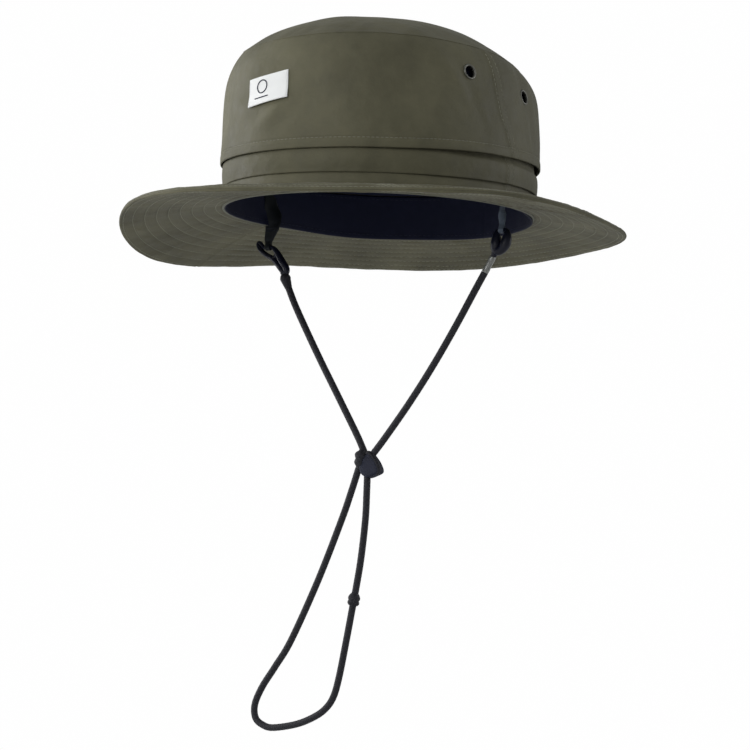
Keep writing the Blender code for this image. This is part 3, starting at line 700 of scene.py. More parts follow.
def wall_panel(name, material, thread, ends, lower, upper, face, over, rows_above, roll=False, hem=0.0,
               stitch_at=0.0, fold_radius=0.0006):
    """One panel of a wall, between two side seams, with a folded edge below.

    ends gives its first and last angle at a height. A panel with over=True has both ends turned under
    and sewn down over its neighbour's.
    """
    first, last = ends
    width = math.radians(float(last(MID_HEIGHT) - first(MID_HEIGHT))) * WALL_RADIUS
    fine_ends = [(0.0, 0.009, 0.0004), (width - 0.009, width + 1, 0.0004)]
    share = dense_between(0.0, width, 0.0013, fine_ends)[:, None] / width
    rolled = np.radians([12.0, 35.0, 60.0, 90.0])
    turned_up = len(rolled)
    dense = dense_between(0.0, 0.009, 0.0011, [(0.0035, 0.0078, 0.0004)])[1:] + fold_radius
    climb = np.linspace(0, 1, rows_above + 1)[1:]

    def angle_at(part, height):
        return first(height) + (last(height) - first(height)) * part

    def edges(part):
        middle = angle_at(part, MID_HEIGHT)
        return lower(middle), upper(middle)

    def offset_at(angle, height, part, above):
        inside = np.minimum(part, 1 - part) * width
        offset = face(angle, height)
        if over:
            offset = offset + 0.0006 * step_up(inside, 0.0085, 0.0055) - 0.0003 * step_up(inside, 0.0005, 0.0)
            for at in SEAM_ROWS:
                offset = offset - 0.00014 * bell(inside - at, 0.0005)
        offset = offset + 0.00025 * step_up(above, stitch_at + 0.0012, stitch_at - 0.001)
        return offset - 0.0003 * bell(above - stitch_at, 0.0007)

    low, high = edges(share)
    curl = low + fold_radius * (1 - np.cos(rolled))[None]
    straight = low + dense[None]
    start = straight[:, -1:]
    heights = np.concatenate([curl, straight, start + climb[None] * (high - start)], 1)
    angles = angle_at(share, heights)
    above = heights - low
    outer = offset_at(angles, heights, share, above)
    base = outer[:, turned_up : turned_up + 1] - fold_radius
    swing = fold_radius * np.sin(rolled)[None]
    outer[:, :turned_up] = base + swing
    inner = outer - CLOTH - 0.0007 * step_up(above, hem + 0.001, hem - 0.001)
    inner[:, :turned_up] = base - swing
    inner_heights = heights
    if roll:
        reach = np.array([[0.0002, 0.0006, 0.0012]])
        rise = np.array([[0.0003, 0.0004, 0.0002]])
        angles = np.concatenate([angles, np.repeat(angles[:, -1:], 3, 1)], 1)
        outer = np.concatenate([outer, outer[:, -1:] - reach], 1)
        inner = np.concatenate([inner, outer[:, -3:] - 0.0003], 1)
        heights = np.concatenate([heights, heights[:, -1:] + rise], 1)
        inner_heights = np.concatenate([inner_heights, heights[:, -3:] - 0.0005], 1)
    levels = out_and_back(heights, inner_heights)
    whole = out_and_back(angles, angles)
    points = ellipse_points(whole, out_and_back(outer, inner), levels)
    piece = loft(name, points, False, material, wall_uv(whole, levels))

    def line(part, height):
        angle = angle_at(part, height)
        here = offset_at(angle, height, part, height - lower(angle))
        normal = ellipse_points(angle, 1.0, 0.0) - ellipse_points(angle, 0.0, 0.0)
        step = 0.0008
        normal[..., 2] = (face(angle, height - step) - face(angle, height + step)) / (2 * step)
        return ellipse_points(angle, here, height), normal

    lines = []
    if stitch_at:
        part = np.linspace(0.004, 0.996, 400)
        lines.append(line(part, edges(part)[0] + stitch_at))
    if over:
        climbed = np.linspace(0.0015, 0.985, 90)
        for at in SEAM_ROWS:
            for part in (at / width, 1 - at / width):
                low, high = edges(part)
                lines.append(line(np.full(90, part), low + (high - low) * climbed))
    if lines:
        stitches(f"{name}_thread", lines, 0.0026, 0.00016, thread, "shell_cloth")
    return belongs(piece, "hat", "shell_cloth")


# How far the front panels reach past the side seams, and the back ones under them, in degrees
OVERLAP = 1.75
UNDERLAP = 2.6


def front_ends(lean):
    return (lambda z: 180.0 - OVERLAP - lean(z)), (lambda z: 360.0 + OVERLAP + lean(z))


def back_ends(lean):
    return (lambda z: lean(z) - UNDERLAP), (lambda z: 180.0 + UNDERLAP - lean(z))


def make_crown(shell, thread):
    """The crown's wall and the two bands under it, each in a front and a back half."""

    def upper_face(angle, height):
        plain = UPPER_BAND_FACE + snug(angle) - 0.0012 * drawn_in(angle)
        points = ellipse_points(angle, plain, height)
        part = np.clip((height - UPPER_BAND_BOTTOM) / 0.0143, 0, 1)
        slack = 0.55 + 0.45 * round_wave(angle, 15.0)
        near = step_up(round_wave(angle, GAPE_MOST), *GAPE_REACH)
        gape = 0.0007 * step_up(height, 0.0215, 0.0262) * near
        tuck = 0.0009 * step_up(height, 0.0228, 0.0252)
        bulge = 0.0006 * np.sin(math.pi * part)
        return plain + bulge + 0.0006 * slack * drift(points, 0.018, 4) - gape - tuck

    def upper_low(angle):
        wave = 0.0003 * np.sin(np.radians(3 * angle + 40))
        return UPPER_BAND_BOTTOM + 0.0013 * round_wave(angle, 90) + wave

    def lower_face(angle, height):
        plain = LOWER_BAND_FACE + snug(angle) - 0.0008 * drawn_in(angle)
        points = ellipse_points(angle, plain, height)
        tuck = 0.0006 * step_up(height, 0.0090, 0.0112)
        return plain + 0.0004 * drift(points, 0.020, 5) + 0.0014 * step_up(height, 0.0105, 0.0030) - tuck

    halves = (("front", front_ends, True), ("back", back_ends, False))
    panels = {}
    for part, ends, over in halves:
        panels[part] = wall_panel(
            f"crown_{part}", shell, thread, ends(side_seam), hem_height, crown_seam, crown_offset, over, 46,
            roll=True, hem=0.0070, stitch_at=0.0055,
        )
        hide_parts(f"crown_panel_{part}")
    for part, ends, over in halves:
        band_ends = ends(level_at(3.2))
        tiers = (
            ("upper", upper_low, level_at(0.034), upper_face, 12, 0.004, 0.0006),
            ("lower", level_at(0.0031), level_at(0.0160), lower_face, 8, 0.0, 0.0003),
        )
        for tier, low, high, face, rows, hem, fold in tiers:
            band = wall_panel(
                f"band_{tier}_{part}", shell, thread, band_ends, low, high, face, over, rows, hem=hem,
                fold_radius=fold,
            )
            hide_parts(f"{tier}_band_{part}")
    return panels


TOP_HEIGHT = 0.110
TOP_SLOPE = (-0.012, -0.009)
TOP_ROUNDNESS = 2.7
# How far in and up the two lines are that round off its edge
TOP_EDGE = ((0.0013, -0.0002), (0.0007, 0.00015))


def ring_spots(angle, radius, height):
    """Places on a plain ring, where noise is looked up so that it changes round the hat."""
    turn = np.radians(angle)
    return np.stack(np.broadcast_arrays(radius * np.cos(turn), radius * np.sin(turn), height), -1)


def dome_points(share, angle, drop=0.0, inset=0.0):
    """Points on the puffed-up oval top, at these shares of the way out from its middle to its seam."""
    seam = crown_seam(angle)
    rim = ellipse_points(angle, crown_offset(angle, seam) - 0.00005 - inset, 0 * angle)
    points = rim * share[..., None]
    top = TOP_HEIGHT + TOP_SLOPE[0] * points[..., 0] + TOP_SLOPE[1] * points[..., 1]
    points[..., 2] = seam + 0.00035 + (top - seam) * (1 - share**TOP_ROUNDNESS) - drop
    slack = 1 - share**10
    points[..., 2] += 0.0012 * drift(points * (1, 1, 0), 0.045, 6) * slack
    points[..., 2] += 0.0005 * drift(points * (1, 1, 0), 0.017, 7) * slack
    points[..., 2] += 0.0005 * drift(ring_spots(angle, 0.09, 0.0), 0.0085, 8) * bell(share - 0.9, 0.07)
    return points


def barrel(name, rings, material, uv=None):
    """A closed body through rings of points, an array (rows, points round, 3), with both ends closed."""
    rings = np.asarray(rings, float)
    rows, sides = rings.shape[:2]
    quads, spread = grid_quads(rows, sides, False, True)
    if uv is None:
        uv = closed_rows(rings)[..., :2]
    points = np.concatenate([rings.reshape(-1, 3), rings[:1].mean(1), rings[-1:].mean(1)])
    k = np.arange(sides)
    following = (k + 1) % sides
    faces, maps = [quads], [uv.reshape(-1, 2)[spread]]
    for row, middle, one, other in ((0, 0, 1, 0), (rows - 1, 1, 0, 1)):
        pair = np.stack([k, following], -1) + row * sides
        tip = np.full((sides, 1), rows * sides + middle)
        faces.append(np.concatenate([pair[:, (one, other)], tip], 1))
        ends = (uv[row, k + one], uv[row, k + other])
        maps.append(np.stack([*ends, np.broadcast_to(uv[row].mean(0), (sides, 2))], 1))
    return face_out(mesh_from(name, points, faces, maps, material))


def make_top(shell):
    angle = np.arange(0, 360, 0.8)
    shares = np.concatenate([np.linspace(1.0, 0.70, 34), np.linspace(0.68, 0.02, 34)])
    grid_share, grid_angle = np.meshgrid(shares, angle, indexing="ij")
    outer = dome_points(grid_share, grid_angle)
    lower = dome_points(grid_share, grid_angle, 0.0006, 0.0012)
    seam = crown_seam(angle)
    rim = crown_offset(angle, seam)
    edge = [ellipse_points(angle, rim - sink, seam + rise) for sink, rise in TOP_EDGE]
    piece = barrel("crown_top", np.concatenate([lower[::-1], edge, outer]), shell)
    belongs(piece, "hat", "shell_cloth", "crown_top_panel")


# ---------------------------------------------------------------- brim

BRIM_INNER = 0.0010
BRIM_WIDTH = 0.0576
WIDTH_WAVES = ((1, -0.0011, -0.0009), (2, -0.0001, -0.0007))
BRIM_DROP = 0.0125
DROP_WAVES = ((1, -0.0047, 0.0026), (2, 0.0030, 0.0003), (3, -0.0016, -0.0010), (4, 0.0008, 0.0024))
STITCH_ROWS = tuple(0.0045 + 0.0066 * row for row in range(8))
EDGE_ROW = 0.0022
EDGE_REACH = (0.0055, 0.0)
EDGE_SINK = 0.0006
BRIM_THICKNESS = 0.0030
BRIM_SEAMS = (2.5, 177.0)


def brim_points(angle, out, base):
    """Points a distance out along the brim from the joint, at a height above its underside there."""
    angle, out, base = np.broadcast_arrays(angle, out, base)
    drop = waved(angle, BRIM_DROP, DROP_WAVES)
    width = waved(angle, BRIM_WIDTH, WIDTH_WAVES)
    reach = np.sqrt(width**2 - drop**2)
    share = out / width
    fall = drop * (0.6 * share + 0.4 * share**2)
    points = ellipse_points(angle, BRIM_INNER + snug(angle) * (1 - share) + reach * share, base - fall)
    points[..., 2] += 0.0007 * drift(points, 0.055, 9) * share
    return points


def quilting(angle, out, width):
    """How far the cloth puffs out between rows of stitches, with small puckers across them."""
    nearest = np.abs(out[..., None] - np.array(STITCH_ROWS)).min(-1)
    nearest = np.minimum(nearest, np.abs(width - EDGE_ROW - out))
    puff = 0.00040 * (1 - bell(nearest, 0.0011))
    spot = ring_spots(angle, 0.12, out * 0.35)
    pucker = 0.00026 * drift(spot, 0.0042, 10) + 0.00034 * drift(spot, 0.011, 11)
    seam = 0.0
    for at in BRIM_SEAMS:
        away = arc_from(angle, at, WALL_RADIUS + out)
        seam = seam + 0.0004 * bell(away, 0.0030) - 0.0007 * bell(away, 0.0007)
    return puff + pucker * step_up(nearest, 0.0, 0.0016) + seam


def brim_layer(name, material, thread, node_names, upward):
    """One face of the brim, quilted between its rows of stitches. Its lip meets the other's at the edge."""
    angle = np.arange(0, 360, 0.6)[:, None]
    nearby = (-0.0018, -0.0009, -0.0004, 0, 0.0004, 0.0009, 0.0018)
    rows = sorted({0.0, *[row + shift for row in STITCH_ROWS for shift in nearby]})
    rows = np.array([row for row in rows if 0 <= row < 0.0525])
    width = waved(angle, BRIM_WIDTH, WIDTH_WAVES)
    tail = np.array([[0.0036, 0.0030, 0.0022, 0.0014, 0.0008, 0.0004, 0.00012, 0.0]])
    lip = np.concatenate([np.zeros(len(rows)), [0, 0, 0, 0.05, 0.15, 0.35, 0.7, 1.0]])[None]
    out = np.concatenate([np.broadcast_to(rows, (len(angle), len(rows))), width - tail], 1)
    puff = quilting(angle, out, width)
    near_edge = step_up(width - out, *EDGE_REACH)
    if upward:
        meet = 0.00125
        face = BRIM_THICKNESS - EDGE_SINK * near_edge + puff * (1 - lip)
        face = face + (meet + 0.00005 - face) * lip
        back = np.minimum(0.0024, face - CLOTH)
        back = back * (1 - near_edge) + (face - CLOTH) * near_edge
        back = np.where(lip > 0.5, np.maximum(back, meet), back)
    else:
        meet = 0.00115
        face = -puff * (1 - lip)
        face = face + (meet - face) * lip
        back = np.maximum(0.0006, face + CLOTH)
        back = np.where(lip > 0.5, np.minimum(back, meet + 0.0001), back)
    under = brim_points(angle, np.maximum(out - 0.0004 * lip, 0), back)
    rings = out_and_back(brim_points(angle, out, face), under)
    belongs(loft(name, rings, True, material, plan_uv(rings)), "hat", "shell_cloth", *node_names)

    lines = []
    angle = np.arange(0, 360.5, 0.75)
    width = waved(angle, BRIM_WIDTH, WIDTH_WAVES)
    rows = [row + 0.00012 * drift(ring_spots(angle, 0.1, row * 30), 0.012, 12) for row in STITCH_ROWS]
    for out in (*rows, width - EDGE_ROW):
        level = BRIM_THICKNESS - EDGE_SINK * step_up(width - out, *EDGE_REACH) if upward else 0.0 * out
        points = brim_points(angle, out, level)
        further = brim_points(angle, out + 0.001, level)
        after = brim_points(angle + 0.2, out, level)
        normal = unit(np.cross(further - points, after - points))
        lines.append((points, normal if upward else -normal))
    stitches(f"{name}_thread", lines, 0.0029, 0.00017, thread, "shell_cloth")


def make_brim(shell, under_shell, thread):
    brim_layer("brim_under", under_shell, thread, ("brim_underside_front", "brim_underside_back"), False)
    brim_layer("brim_top", shell, thread, ("brim_upper_front", "brim_upper_back"), True)


# ---------------------------------------------------------------- inside

BACK_SEAM = 84.0
LINING_INSET = 0.0045
BAND_THICKNESS = 0.0007


def groove(angle, at, width):
    """A narrow dip round one angle, from 0 to 1."""
    return bell(arc_from(angle, at, 0.09), width)


def ring_wall(name, material, face, low, high, thickness, rows):
    """A closed band all the way round the head, with rounded edges."""
    angle = np.arange(0, 360, 0.75)[:, None]
    low, high = low(angle), high(angle)
    heights = low + (high - low) * np.linspace(0, 1, rows)[None]
    outer = face(angle, heights)
    half = thickness / 2
    levels = np.concatenate([low - half, heights, high + half, heights[:, ::-1]], 1)
    inner = outer[:, ::-1] - thickness
    offsets = np.concatenate([outer[:, :1] - half, outer, outer[:, -1:] - half, inner], 1)
    uv = wall_uv(angle, levels)
    uv = np.concatenate([uv, uv[:1] + (math.tau * WALL_RADIUS, 0)])
    return loft(name, ellipse_points(angle, offsets, levels), True, material, uv)


def make_inside(navy, navy_thread, piping_cloth):
    """The sweatband, the lining and the piping where they meet the brim."""

    def band_face(angle, height):
        soft = 0.0003 * drift(ellipse_points(angle, 0.0, height), 0.03, 13)
        return BAND_THICKNESS + snug(angle) + soft + 0.0003 * groove(angle, BACK_SEAM, 0.0007)

    def lining_face(angle, height):
        seams = sum(groove(angle, at, 0.0006) for at in BRIM_SEAMS)
        return crown_offset(angle, np.maximum(height, LEAN_START)) - LINING_INSET + 0.0004 * seams

    def band_low(angle):
        """Its lower edge, which hangs a little way out at the back."""
        wave = 0.0004 * np.sin(np.radians(5 * angle + 30))
        return -0.0005 - (0.0022 + wave) * step_up(round_wave(angle, 88), 0.1, 0.8)

    def lining_high(angle):
        return crown_seam(angle) - 0.0028

    band = ring_wall("inner_band", navy, band_face, band_low, level_at(0.0232), BAND_THICKNESS, 26)
    belongs(band, "hat", "lining_cloth", "sweatband")
    side = ring_wall("lining_side", navy, lining_face, level_at(0.0242), lining_high, CLOTH, 40)
    belongs(side, "hat", "lining_cloth", "lining_wall")
    share, angle = np.meshgrid(np.linspace(1.0, 0.02, 30), np.arange(0, 360, 2.0), indexing="ij")
    under, over = [dome_points(share, angle, drop, 0.0034) for drop in (0.0034, 0.0034 - CLOTH)]
    belongs(barrel("lining_crown", [*under[::-1], *over], navy), "hat", "lining_cloth", "lining_top")

    angle = np.arange(0, 360, 0.75)
    path = ellipse_points(angle, 0.0012 + snug(angle), -0.0003)
    belongs(tube("piping", path, 0.0008, piping_cloth, 10, wrap=True), "hat", "shell_cloth")
    angle = np.append(angle, 360.0)
    lines = []
    for height in (band_low(angle) + 0.0022, 0.0215 + 0 * angle):
        points = ellipse_points(angle, band_face(angle, height) - BAND_THICKNESS, height)
        inwards = ellipse_points(angle, -1.0, height) - ellipse_points(angle, 0.0, height)
        lines.append((points, inwards))
    stitches("inner_band_thread", lines, 0.0029, 0.00017, navy_thread, "lining_cloth")


# ---------------------------------------------------------------- label and eyelets

LABEL_ANGLE = 265.5
LABEL_MIDDLE = 0.0588
LABEL_WIDTH = 0.0305
LABEL_HEIGHT = 0.0163
LABEL_TILT = math.radians(6.5)
LABEL_BEND = 0.088
RING_RADIUS = 0.0037
INK_RADIUS = 0.00036
MARK_LIFT = 0.0006


def label_lift(u, v):
    """How far the label's back stands off the crown. Its lower edge hangs loose."""
    return 0.0003 + 0.0009 * step_up(-v, 0.0, 0.5) + 0.0002 * np.sin(7 * u + 1) * step_up(-v, -0.2, 0.5)


def label_points(u, v, lift):
    """Points with u and v from -0.5 to 0.5 along and up the label, at a height over its back."""
    x, y = u * LABEL_WIDTH, v * LABEL_HEIGHT
    height = LABEL_MIDDLE + x * math.sin(LABEL_TILT) + y * math.cos(LABEL_TILT)
    angle = LABEL_ANGLE + np.degrees((x * math.cos(LABEL_TILT) - y * math.sin(LABEL_TILT)) / LABEL_BEND)
    return ellipse_points(angle, crown_offset(angle, height) + label_lift(u, v) + lift, height)


def make_label(cloth, ink):
    """A sewn-on patch with a plain woven ring over a bar."""
    u = np.sin(np.linspace(-1, 1, 61) * math.pi / 2)[:, None] / 2
    v = np.sin(np.linspace(-1, 1, 33) * math.pi / 2)[None] / 2
    full = np.sqrt((1 - (2 * np.abs(u)) ** 24) * (1 - (2 * np.abs(v)) ** 16))
    rings = out_and_back(label_points(u, v, 0.00008 + 0.0005 * full), label_points(u, v, 0.0))
    uv = np.stack(np.broadcast_arrays(u * LABEL_WIDTH, closed_rows(out_and_back(v, v)) * LABEL_HEIGHT), -1)
    belongs(loft("name_patch", rings, False, cloth, uv), "hat", "label_cloth", "label")

    turn = np.arange(0, math.tau, 0.06)
    mark_u = -0.13 + RING_RADIUS * np.cos(turn) / LABEL_WIDTH
    mark_v = 0.12 + RING_RADIUS * np.sin(turn) / LABEL_HEIGHT
    ring = label_points(mark_u, mark_v, MARK_LIFT)
    belongs(tube("patch_ring", ring, INK_RADIUS, ink, 8, wrap=True), "hat", "label_cloth")
    bar = label_points(np.linspace(-0.30, 0.04, 40), -0.27, MARK_LIFT)
    belongs(tube("patch_bar", bar, INK_RADIUS, ink, 8), "hat", "label_cloth")
    lines = []
    for edge in (-0.47, 0.47):
        up = np.linspace(-0.46, 0.46, 40)
        points = label_points(edge, up, 0.00055)
        lines.append((points, label_points(edge, up, 0.002) - points))
    stitches("patch_thread", lines, 0.0016, 0.00013, cloth, "label_cloth")


EYELETS = (("front", 18.2, 0.0713), ("back", -15.0, 0.0655))
SIDE_SEAMS = (("left", 2.0, -1), ("right", 178.0, 1))
HOLE_RADIUS = 0.0036


def wall_place(angle, height):
    """A point on the crown's outer face, and the directions round it, up it and straight out of it."""

    def at(a, z):
        return ellipse_points(a, crown_offset(a, z), z)

    across = at(angle + 1.0, height) - at(angle - 1.0, height)
    out = unit(np.cross(across, at(angle, height + 0.002) - at(angle, height - 0.002)))
    across = unit(across)
    return at(angle, height), across, np.cross(out, across), out


def turned(name, profile, place, material, sides=48):
    """A closed profile of (radius, height) in mm, turned about the direction out of a place."""
    point, across, up, out = place
    profile = np.asarray(profile) * MM
    turn = np.arange(sides + 1)[:, None] * math.tau / sides
    rings = point + profile[None, :, :1] * spun(turn, across, up)[:-1] + profile[None, :, 1:] * out
    along = np.arange(len(profile) + 1)[None] * 0.0005
    return loft(name, rings, True, material, np.stack(np.broadcast_arrays(turn * 0.003, along), -1))


def cut(piece, tools):
    """Cuts the tools' shapes out of a piece, and removes the tools."""
    for tool in tools:
        modifier = piece.modifiers.new("cut", "BOOLEAN")
        modifier.operation = "DIFFERENCE"
        modifier.solver = "EXACT"
        modifier.object = tool
    graph = bpy.context.evaluated_depsgraph_get()
    mesh = bpy.data.meshes.new_from_object(piece.evaluated_get(graph))
    piece.modifiers.clear()
    piece.data = mesh
    for tool in tools:
        bpy.data.objects.remove(tool, do_unlink=True)


def make_eyelets(panels, metal):
    """Rolled metal eyelets through the crown, two on each side, each with a washer behind."""
    arc = np.linspace(math.pi, 0, 14)
    roll = [(3.95 + 0.58 * math.cos(t), 0.10 + 0.52 * math.sin(t)) for t in arc]
    flange = [(3.37, -1.1), (3.37, -0.4), *roll, (4.53, 0.0), (3.55, 0.0), (3.55, -1.1)]
    washer = [(3.6, -0.75), (4.3, -0.75), (4.45, -0.85), (4.45, -1.05), (4.3, -1.15), (3.6, -1.15)]
    parts = (("vent", "eyelet", flange), ("vent_washer", "eyelet_washer", washer))
    turn = np.arange(24) * math.tau / 24
    for end, shift, height in EYELETS:
        tools = []
        for side, seam, forward in SIDE_SEAMS:
            place = wall_place(seam + forward * shift, height)
            name = f"{side}_{end}"
            for piece, cad_name, profile in parts:
                made = turned(f"{piece}_{name}", profile, place, metal)
                belongs(made, "hat", "eyelet_metal", f"{cad_name}_{name}")
            point, across, up, out = place
            circle = point + HOLE_RADIUS * spun(turn, across, up)
            tools.append(barrel(f"hole_{name}", [circle - 0.004 * out, circle + 0.004 * out], metal))
        cut(panels[end], tools)


# ---------------------------------------------------------------- chin strap hardware

# The side of a tab that shows its stitches
OUTWARD = np.array((0.57, -0.82, 0.0))


def ribbon(name, path, across, width, thickness, material):
    """Webbing along a path, as wide as width at each point, in the direction that across gives."""
    normals = unit(np.cross(np.gradient(path, axis=0), across))
    reach = np.linspace(-1, 1, 25)
    full = 0.35 + 0.65 * np.sqrt(1 - reach**8) - 0.06 * np.cos(reach * 18)
    reach = out_and_back(reach[None], reach[None])
    lift = out_and_back(full[None], -full[None]) * thickness / 2
    spread = reach * width[:, None] / 2
    rings = path[:, None] + across[:, None] * spread[..., None] + normals[:, None] * lift[..., None]
    uv = np.stack(np.broadcast_arrays(run_lengths(path)[:, None], closed_rows(spread)), -1)
    return loft(name, rings, False, material, uv)


def make_tab(side, x, widths, turning, bow, webbing, thread):
    """A ribbon that comes out of the sweatband, twists a quarter turn and loops round the hook's bar.

    widths and bow are (heights, sizes): how wide the ribbon is, and how far it bends inwards.
    """
    levels = (0.020, 0.012, 0.004, -0.001, -0.004, -0.007, -0.0095, -0.0108)
    loop = 0.00165
    bows = np.interp(levels, *bow)
    points = [(0.0003 + b, z) for b, z in zip(bows, levels)]
    for a in np.radians(np.arange(50, 311, 26)):
        points.append((loop * math.sin(a), PIVOT_Z + loop * math.cos(a)))
    points += [(b - 0.0003, z) for b, z in zip(bows[:2:-1], levels[:2:-1])]
    flat = smooth_path([(offset, 0.0, z) for offset, z in points], 0.0005)
    height = flat[:, 2]
    twist = np.radians(90) * step_up(height, *turning)
    bowed = np.interp(height, *bow)
    inwards = np.stack([x - math.copysign(1, x) * bowed, STRAP_Y + 0 * bowed, height], -1)
    across = np.stack([np.sin(twist), np.cos(twist), 0 * twist], -1)
    out = np.stack([np.cos(twist), -np.sin(twist), 0 * twist], -1)
    path = inwards + out * (flat[:, 0] - bowed)[:, None]
    width = np.interp(height, *widths)
    made = ribbon(f"tab_{side}", path, across, width, 0.0005, webbing)
    belongs(made, "hat", "webbing", f"webbing_tab_{side}")

    lines = []
    for level in (-0.0028, -0.0040):
        here = np.argmin(np.abs(height[: len(height) // 2] - level))
        reach = np.linspace(-0.42, 0.42, 9)[:, None] * width[here]
        facing = out[here] if out[here] @ OUTWARD > 0 else -out[here]
        points = path[here] + across[here] * reach + facing * 0.00065
        lines.append((points, np.broadcast_to(facing, points.shape)))
    stitches(f"tab_{side}_thread", lines, 0.0012, 0.00014, thread, "webbing")


def on_strap(x, z, route):
    """A route of (x, z, radius), in mm from a point of the strap, as (x, y, z, radius) in metres."""
    return [(x + across * MM, STRAP_Y, z + up * MM, radius * MM) for across, up, radius in route]


def rod(name, start, end, radii, material, sides=24, shape=None):
    """A round rod from one point to another, with evenly spaced radii in mm."""
    start, end = np.asarray(start), np.asarray(end)
    share = np.linspace(0, 1, 40)
    radius = np.interp(share, np.linspace(0, 1, len(radii)), radii) * MM
    return tube(name, start + (end - start) * share[:, None], radius, material, sides, shape)


# Points of the hooks' outlines in mm from their bars, with the radius there
RING_ROUTE = (
    (-2.3, 0, 1.1), (2.3, 0, 1.1), (3.4, -1.6, 1.9), (3.3, -4.6, 2.75), (2.4, -7.8, 3.1), (0.4, -10.4, 2.8),
    (-2.4, -11.7, 2.7), (-4.0, -10.4, 2.8), (-3.9, -7.6, 3.1), (-3.7, -4.6, 2.75), (-3.4, -1.6, 1.9),
)
HOOK_ROUTE = (
    (-2.6, 0, 1.1), (2.6, 0, 1.1), (6.4, -3.4, 1.8), (10.1, -8.9, 2.2), (13.2, -13.0, 2.1),
    (13.2, -15.6, 2.0), (10.8, -14.4, 1.9), (7.4, -10.6, 1.9), (3.2, -6.8, 1.6), (-1.4, -4.4, 1.5),
    (-5.6, -1.2, 1.5), (-7.6, 2.2, 1.3), (-6.4, 3.2, 1.2), (-4.4, 1.4, 1.1),
)
# Where the sleeves start at their hooks, and end on their cords
SLEEVES = {
    "left": np.array(((0.0764, STRAP_Y, -0.0290), (0.0714, STRAP_Y, -0.0369))),
    "right": np.array(((-0.0699, STRAP_Y, -0.0320), (-0.0671, STRAP_Y, -0.0386))),
}


def make_hooks(plastic, clear, dark):
    """The two cord ends: a plump ring on the left, and a long slotted hook on the right."""
    hooks = (("cord_ring", "left", PIVOT_X, RING_ROUTE, 24), ("cord_hook", "right", -PIVOT_X, HOOK_ROUTE, 20))
    for name, side, x, route, sides in hooks:
        path = smooth_path(on_strap(x, PIVOT_Z, route), 0.0004, closed=True)
        piece = tube(name, path[:, :3], path[:, 3], plastic, sides, wrap=True)
        belongs(piece, "chin_strap", "hook_plastic", f"hook_{side}")
    bar_ends = [point[:3] for point in on_strap(-PIVOT_X, PIVOT_Z, ((7.0, -3.8, 0), (3.6, -7.2, 0)))]
    belongs(rod("cord_hook_bar", *bar_ends, (1.6, 1.2, 1.6), plastic), "chin_strap", "hook_plastic")

    sleeves = (
        ("left", clear, "clear_sleeve", None, (1.75, 1.9, 1.85, 1.85, 1.9, 2.05, 2.05)),
        ("right", dark, "cord", braid, (2.9, 3.2, 3.05, 2.8, 2.6, 2.4, 2.2)),
    )
    for side, (start, end) in SLEEVES.items():
        toward = unit(end - start)
        stem = rod(f"stem_{side}", start - 0.0025 * toward, start + 0.004 * toward, (2.0, 1.3, 1.3), plastic)
        belongs(stem, "chin_strap", "hook_plastic")
    for side, material, slot, shape, radii in sleeves:
        sleeve = rod(f"sleeve_{side}", *SLEEVES[side], radii, material, 32, shape)
        belongs(sleeve, "chin_strap", slot, f"cord_sleeve_{side}")


KNOT_MIDDLE = np.array((-0.0163, STRAP_Y, -0.2226))
KNOT_ABOVE = np.array((-0.0118, STRAP_Y, -0.1995))
KNOT_SIZE = np.array((0.00078, 0.00084, 0.00125))
KNOT_HALF_LENGTH = 0.0052
SLIDER_OUTLINE = (
    (-0.0096, -0.1410), (-0.0074, -0.1386), (-0.0051, -0.1381), (-0.0028, -0.1402), (-0.0006, -0.1429),
    (0.0010, -0.1456), (0.0019, -0.1478), (0.0018, -0.1494), (0.0006, -0.1504), (-0.0024, -0.1515),
    (-0.0058, -0.1525), (-0.0080, -0.1521), (-0.0110, -0.1502), (-0.0121, -0.1478), (-0.0121, -0.1452),
)
SLIDER_EDGE = (
    (-0.0072, -0.1386), (-0.0048, -0.1384), (-0.0010, -0.1424), (0.0008, -0.1456), (0.0016, -0.1484),
    (-0.0004, -0.1504),
)
SLIDER_DEPTH = 0.0072
COLLAR_TOP = np.array((-0.0112, STRAP_Y - 0.0010, -0.1378))
COLLAR_BOTTOM = np.array((-0.0125, STRAP_Y - 0.0010, -0.1452))


def make_knot(material):
    """The cord tied round itself, drawn up tight."""
    t = np.arange(0, math.tau, 0.02)
    along = unit(KNOT_MIDDLE - KNOT_ABOVE)
    side = np.cross(along, (0, 1, 0))
    curl = np.stack([np.sin(t) + 2 * np.sin(2 * t), np.cos(t) - 2 * np.cos(2 * t), -np.sin(3 * t)], -1)
    path = KNOT_MIDDLE + curl * KNOT_SIZE @ np.array([side, along, (0, 1, 0)])
    knot = tube("looks_knot", path, 0.00168, material, 20, braid, wrap=True)
    belongs(knot, "chin_strap", "cord", "cord_knot")
    radii = (1.9, 2.0, 2.9, 3.5, 3.5, 2.9, 2.5, 2.2, 2.0, 1.9)
    half = KNOT_HALF_LENGTH * along
    core = rod("knot_core", KNOT_MIDDLE - half, KNOT_MIDDLE + half, radii, material, 28, braid)
    belongs(core, "chin_strap", "cord")


